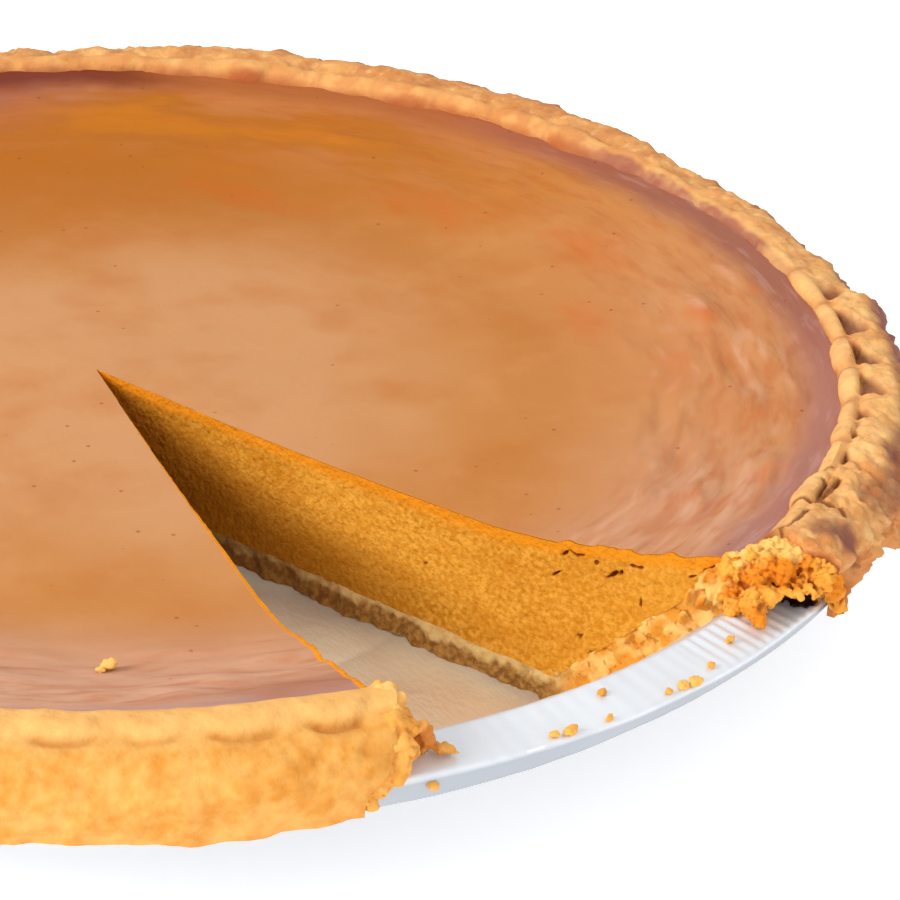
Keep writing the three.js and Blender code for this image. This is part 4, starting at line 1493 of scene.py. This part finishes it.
# %% the torn ends' colours
def torn_colours(dough):
    """The right end, broken open: orange crumb with painted shade in its hollows and nearly black
    painted shade in the hole.
    """
    hot = dough.patches(3.0, 3, 0.40, 0.62, offset=0.2)
    base = dough.paint(
        dough.blend(hot, colour(236, 164, 62), colour(216, 124, 18)),
        # painted shade in the hollows, and nearly black painted shade in the hole
        (dough.fade(dough.layer("hollow"), 0.45, 1.0) * 0.9, (150, 66, 6)),
        (dough.layer("toast_and_hole_shade"), (40, 14, 6)),
        (dough.layer("pale") * 0.85, (240, 192, 106)),
    )
    return base, 0.0


def near_torn_colours(dough):
    """The left end, rounder and paler, with one toasted block."""
    base = dough.paint(
        mottled(dough, (224, 150, 60), (236, 176, 92)),
        # painted shade in the hollows; the toasted block is its own colour
        (dough.fade(dough.layer("hollow"), 0.50, 1.0) * 0.6, (180, 98, 24)),
        (dough.layer("toast_and_hole_shade") * 0.7, (184, 96, 26)),
        (dough.layer("pale") * 0.5, (246, 204, 122)),
    )
    return base, 0.0


torn_finish = pastry("torn pastry", torn_colours)
near_torn_finish = pastry("torn pastry of the near rim", near_torn_colours, 0.35)
finish_piece(right_end, "pastry_crust", torn_finish, smooth_under=80)
finish_piece(left_end, "pastry_crust", near_torn_finish, smooth_under=80)

# %% [markdown]
# ## The foil tin
# A pie tin like this is stamped from thin foil: a flat base with a pressed ring, a fluted
# sloping wall, a narrow flange and an edge rolled down. The foil gathers into fine pleats
# as it is drawn in. A closed profile is spun all the way round, in finer steps where the
# flange shows, and the flutes, pleats and dents are added by angle.

# %% the tin's profile
FOIL = 0.5
BASE_RADIUS, MOUTH_RADIUS, TIN_DEPTH = 86.0, 111.8, 27.5
FLANGE_EDGE, FLANGE_EDGE_HEIGHT, LIP_RADIUS = 118.7, 26.9, 119.4
LIP_BOTTOM = 25.0
SLANT = math.hypot(1, WALL_SLOPE)


def wall_point(along, behind=0.0):
    """A point of the wall's inner face, or that far behind it."""
    across = BASE_RADIUS + WALL_SLOPE * along / SLANT + behind / SLANT
    return across, FOIL + along / SLANT - behind * WALL_SLOPE / SLANT


TIN_LINE = [
    ((0, 0), 9),
    ((BASE_RADIUS - 1.0, 0), 1),
    (wall_point(2.4, FOIL), 2),
    (wall_point(6, FOIL), 6),
    (wall_point(32, FOIL), 1),
    (wall_point(36.4, FOIL), 1),
    ((MOUTH_RADIUS + 0.8, TIN_DEPTH - FOIL), 3),
    ((FLANGE_EDGE - FOIL, FLANGE_EDGE_HEIGHT - FOIL), 2),
    ((FLANGE_EDGE - 0.2, LIP_BOTTOM + 0.4), 1),
    ((FLANGE_EDGE + 0.3, LIP_BOTTOM), 1),
    ((LIP_RADIUS, LIP_BOTTOM + 0.4), 3),
    ((LIP_RADIUS, FLANGE_EDGE_HEIGHT - 0.5), 1),
    ((LIP_RADIUS - 0.25, FLANGE_EDGE_HEIGHT - 0.12), 1),
    ((FLANGE_EDGE, FLANGE_EDGE_HEIGHT), 7),
    ((MOUTH_RADIUS + 0.7, TIN_DEPTH), 1),
    ((MOUTH_RADIUS + 0.1, TIN_DEPTH - 0.15), 1),
    (wall_point(36.4), 1),
    (wall_point(32), 7),
    (wall_point(6), 2),
    (wall_point(2.4), 2),
    ((BASE_RADIUS - 1.2, FOIL), 6),
    ((58.6, FOIL), 2),
    ((57.4, 0.25), 2),
    ((56.2, FOIL), 9),
    ((0, FOIL), 1),
]
SPIN_START = -22


def tin_outline():
    """The tin's closed profile, on the plane where its spin starts."""
    shape = bmesh.new()
    corners = TIN_LINE + TIN_LINE[:1]
    for ((r0, z0), cuts), ((r1, z1), _) in zip(corners, corners[1:]):
        for share in np.arange(cuts) / cuts:
            level = z0 + (z1 - z0) * share
            spot = turned(r0 + (r1 - r0) * share, SPIN_START, level)
            shape.verts.new(Vector(spot) * MM)
    ring = list(shape.verts)
    for first, second in zip(ring, ring[1:]):
        shape.edges.new((first, second))
    return shape


whole = bmesh.new()
lay_round(whole, tin_outline, [(11, 4, 34), (79, 4, 12)])
tin_mesh = close_up(whole, "pressed_foil_tin")
print("tin of", len(tin_mesh.vertices), "vertices")

# %% flutes, pleats and dents
FLUTE_COUNT, FLUTE_DEPTH = 42, 0.45
points = read_points(tin_mesh)
radius, degrees, height = polar(points)
signed = signed_angle(degrees)
turn = np.radians(degrees)
ring_place = np.stack([115 * np.sin(turn), -115 * np.cos(turn), 0 * turn], -1)
flute = FLUTE_DEPTH * 0.5 * (1 - np.cos(FLUTE_COUNT * turn))
behind_wall = radius - BASE_RADIUS - WALL_SLOPE * (height - FOIL)
outside = ease(behind_wall, 0.15, 0.5) * (height < 26.7) * (radius < FLANGE_EDGE - 1)
strength = 0.5 + 0.5 * noise(ring_place, 7, 81)
sharp = window(signed, 6, 8.5, 15, 20)
phase = 280 * turn + 1.2 * noise(ring_place, 5, 82)
pleat = np.cos(phase) * (0.1 + 0.35 * strength) * (1 - sharp)
pleat += 0.9 * np.cos(400 * turn + noise(ring_place, 6, 83)) * sharp
soft = noise(ring_place, 8, 84) + 0.5 * noise(ring_place, 3.5, 85)
wall = window(height, 2.0, 5.0, 24.5, 27.2) * (radius < MOUTH_RADIUS)
flange = ease(radius, 110.5, 112.2) * (height > 25.9)
lip = (radius > FLANGE_EDGE - FOIL) & (height < FLANGE_EDGE_HEIGHT - 0.3)
inner_edge = hump(radius - 111.6, 1.1) * (height > 25)
radius += flute * wall + 0.14 * pleat * wall + 0.22 * (pleat + soft) * inner_edge
fade = 1 - 0.55 * ease(radius, 113, 118)
height += flange * (0.13 * pleat * fade + 0.16 * soft)
lower = ease(FLANGE_EDGE_HEIGHT - height, 0.3, 1.7) * (radius > FLANGE_EDGE - FOIL)
height -= 0.8 * (1 - np.sin(4 * turn)) * lower
height += 0.22 * soft * lower
radius += 0.12 * (soft + 0.15 * pleat) * lip
floor = (radius < BASE_RADIUS - 2) & (height > 0.3)
flat = np.stack([radius * np.sin(turn), -radius * np.cos(turn), 0 * turn], -1)
height += floor * ease(radius, 5, 20) * 0.05 * rough(flat, 6, 86, 3)
points = turned(radius, degrees, np.maximum(height, 0))
write_points(tin_mesh, points)
write_layer(tin_mesh, "outside", outside)
print("tin from", points.min(0).round(1), "to", points.max(0).round(1))

# %% [markdown]
# ## The foil's finish
# Aluminium foil is a real metal surface, so it is metallic with a soft, uneven roughness.
# Its base is greasy and finely creased where the slice has been lifted out, and there it looks
# warmer and duller than the clean flange. The lip's lower edge is painted darker, as shade.

# %% foil shader
foil = Finish("pressed foil")
z = foil.axes()[2]
middle = foil.from_axis()
low = 1 - foil.fade(z, 0.004, 0.024)
grease = foil.patches(14, 3, 0.35, 0.65)
# the lip's lower edge, for painted shade
edge = foil.fade(middle, 0.1184, 0.1188) * (1 - foil.fade(z, 0.0258, 0.0266))
base = foil.paint(
    foil.blend(grease, colour(234, 237, 241), colour(226, 229, 234)),
    (low * (0.55 + 0.25 * grease), (254, 252, 228)),
    (foil.layer("outside"), (178, 181, 186)),
    # painted shade along the lip's lower edge
    (edge, (172, 177, 184)),
)
creases = foil.noise(1.6, 4, stretch=(1, 2.2, 1))
roughness = 0.34 + 0.16 * grease + 0.12 * low
fine = creases * 0.55 + foil.noise(5, 3) * 0.9 * low + foil.noise(3, 2) * 0.3
fine = fine + foil.noise(0.9, 3, stretch=(2.5, 1, 1)) * 0.4 * low
on_flange = foil.fade(middle, 0.1112, 0.1128)
metal = {"Metallic": 0.9 - 0.45 * on_flange - 0.15 * low}
foil_finish = foil.done(base, roughness, fine, 0.22, metal)
finish_piece(tin_mesh, "foil_tin", foil_finish, smooth_under=60)

# %% [markdown]
# ## Loose crumbs
# Lifting the slice out scattered crumbs on the flange, one at the lip's lower edge and two
# on the filling. Each is a small uneven lump with its lowest point sunk a little into what
# it lies on, so that none floats. All of them are one piece with the torn crumb's finish.

# %% scattered crumbs
CRUMBS = [
    # distance, angle, height, half size, flatness
    (116.1, 10.1, 27.5, 0.75, 0.6),
    (118.0, 7.1, 27.2, 0.55, 0.8),
    (119.2, 5.0, 27.1, 0.85, 0.7),
    (118.9, 4.1, 27.1, 0.7, 0.7),
    (118.7, 3.0, 27.1, 0.5, 0.7),
    (114.7, -0.6, 27.5, 0.55, 0.7),
    (118.9, -4.6, 27.1, 0.95, 0.6),
    (118.6, -5.6, 27.1, 0.6, 0.7),
    (119.0, -1.8, 27.0, 0.6, 0.7),
    (119.5, -13.5, 24.9, 0.7, 0.8),
    (89.2, -31.0, 26.6, 1.0, 0.75),
    (90.1, -31.7, 26.6, 0.55, 0.7),
]
shape = bmesh.new()
for n, (where, angle, level, half, flatness) in enumerate(CRUMBS):
    sizes = (half, half * (0.7 + 0.1 * (n % 4)), half * flatness)
    chunk(shape, turned(where, angle, level + 0.55 * half * flatness), sizes, 500 + 5 * n, 3)
crumb_mesh = mesh_of(shape, "loose_crumbs")
each = len(crumb_mesh.vertices) // len(CRUMBS)
paleness = scatter.uniform(0, 0.7, len(CRUMBS))
paleness[-2:] = 1.0
write_layer(crumb_mesh, "pale", np.repeat(paleness, each))
for name in ("hollow", "toast_and_hole_shade"):
    write_layer(crumb_mesh, name, np.zeros(len(crumb_mesh.vertices)))
finish_piece(crumb_mesh, None, torn_finish, smooth_under=80)
print(len(CRUMBS), "crumbs,", len(crumb_mesh.polygons), "faces")

# %% [markdown]
# ## Light, floor and camera
# The pie stands on plain white in soft light from all round. One soft light high at the
# left draws the sheen on the skin and the soft shadow at the right, and a larger, weaker one
# fills the front. The table glows a little, so that it stays white in the shadow's reach.
# The colours are shown with the Standard view transform, so that whites stay white.

# %% stage
SKY_STRENGTH, TABLE_GLOW = 0.80, 0.39
scene = bpy.context.scene
scene.view_settings.view_transform = "Standard"
world = bpy.data.worlds.new("white studio")
scene.world = world
world.use_nodes = True
world.node_tree.nodes["Background"].inputs["Color"].default_value = (1.0, 1.0, 1.0, 1.0)
world.node_tree.nodes["Background"].inputs["Strength"].default_value = SKY_STRENGTH


def soft_light(name, place, aim, width, power):
    """A square soft light at a place, pointed at an aim, in metres and watts."""
    lamp = bpy.data.lights.new(name, "AREA")
    lamp.size = width
    lamp.energy = power
    light = bpy.data.objects.new(name, lamp)
    light.location = place
    light.rotation_euler = (Vector(aim) - Vector(place)).to_track_quat("-Z", "Y").to_euler()
    scene.collection.objects.link(light)
    return light


soft_light("window", (-1.0, 0.12, 0.62), (0, 0, 0.02), 0.5, 11.0)
soft_light("front fill", (-0.35, -0.95, 0.75), (0, 0, 0.02), 1.0, 2.5)

shape = bmesh.new()
bmesh.ops.create_grid(shape, x_segments=1, y_segments=1, size=3)
floor_mesh = mesh_of(shape, "white_table")
table = Finish("white table")
paper = table.blend(table.noise(60, 2), colour(249, 249, 250), colour(251, 251, 251))
glow = {"Emission Color": (1, 1, 1, 1), "Emission Strength": TABLE_GLOW}
floor_mesh.materials.append(table.done(paper, 0.9, fixed=glow))
floor_piece = bpy.data.objects.new("white_table", floor_mesh)
scene.collection.objects.link(floor_piece)
floor_piece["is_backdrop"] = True

# %% [markdown]
# ## The camera
# The camera looks down on the pie from the front left, over the tip of the missing slice. It
# is placed by where it stands and by its own three directions, to the right, up and ahead.

# %% camera
CAMERA_PLACE = Vector((-191.25, -306.24, 194.99)) * MM
CAMERA_RIGHT = Vector((0.77806, -0.62538, 0.0594))
CAMERA_UP = Vector((0.24245, 0.38617, 0.88999))
CAMERA_AHEAD = Vector((0.57952, 0.67807, -0.45209))
lens = bpy.data.cameras.new("camera")
lens.sensor_width = 36
lens.lens = 105.97
lens.clip_start = 0.01
camera = bpy.data.objects.new("camera", lens)
facing = Matrix((CAMERA_RIGHT, CAMERA_UP, -CAMERA_AHEAD)).transposed().to_4x4()
camera.matrix_world = Matrix.Translation(CAMERA_PLACE) @ facing
scene.collection.objects.link(camera)
scene.camera = camera
print("camera", round(CAMERA_PLACE.length, 3), "m from the pie's middle")

# %% [markdown]
# ## Sizes, and the end
# The dressed pie has to stay the size of its CAD model, so both boxes are gathered here and the
# visual one is printed, as the CAD box was at the start.

# %% sizes and finish
visual_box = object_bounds()
sizes = {
    "cad": [list(map(float, corner)) for corner in cad_box],
    "visual": [list(map(float, corner)) for corner in visual_box],
}
print("visual box in metres:", [[round(v, 4) for v in corner] for corner in visual_box])
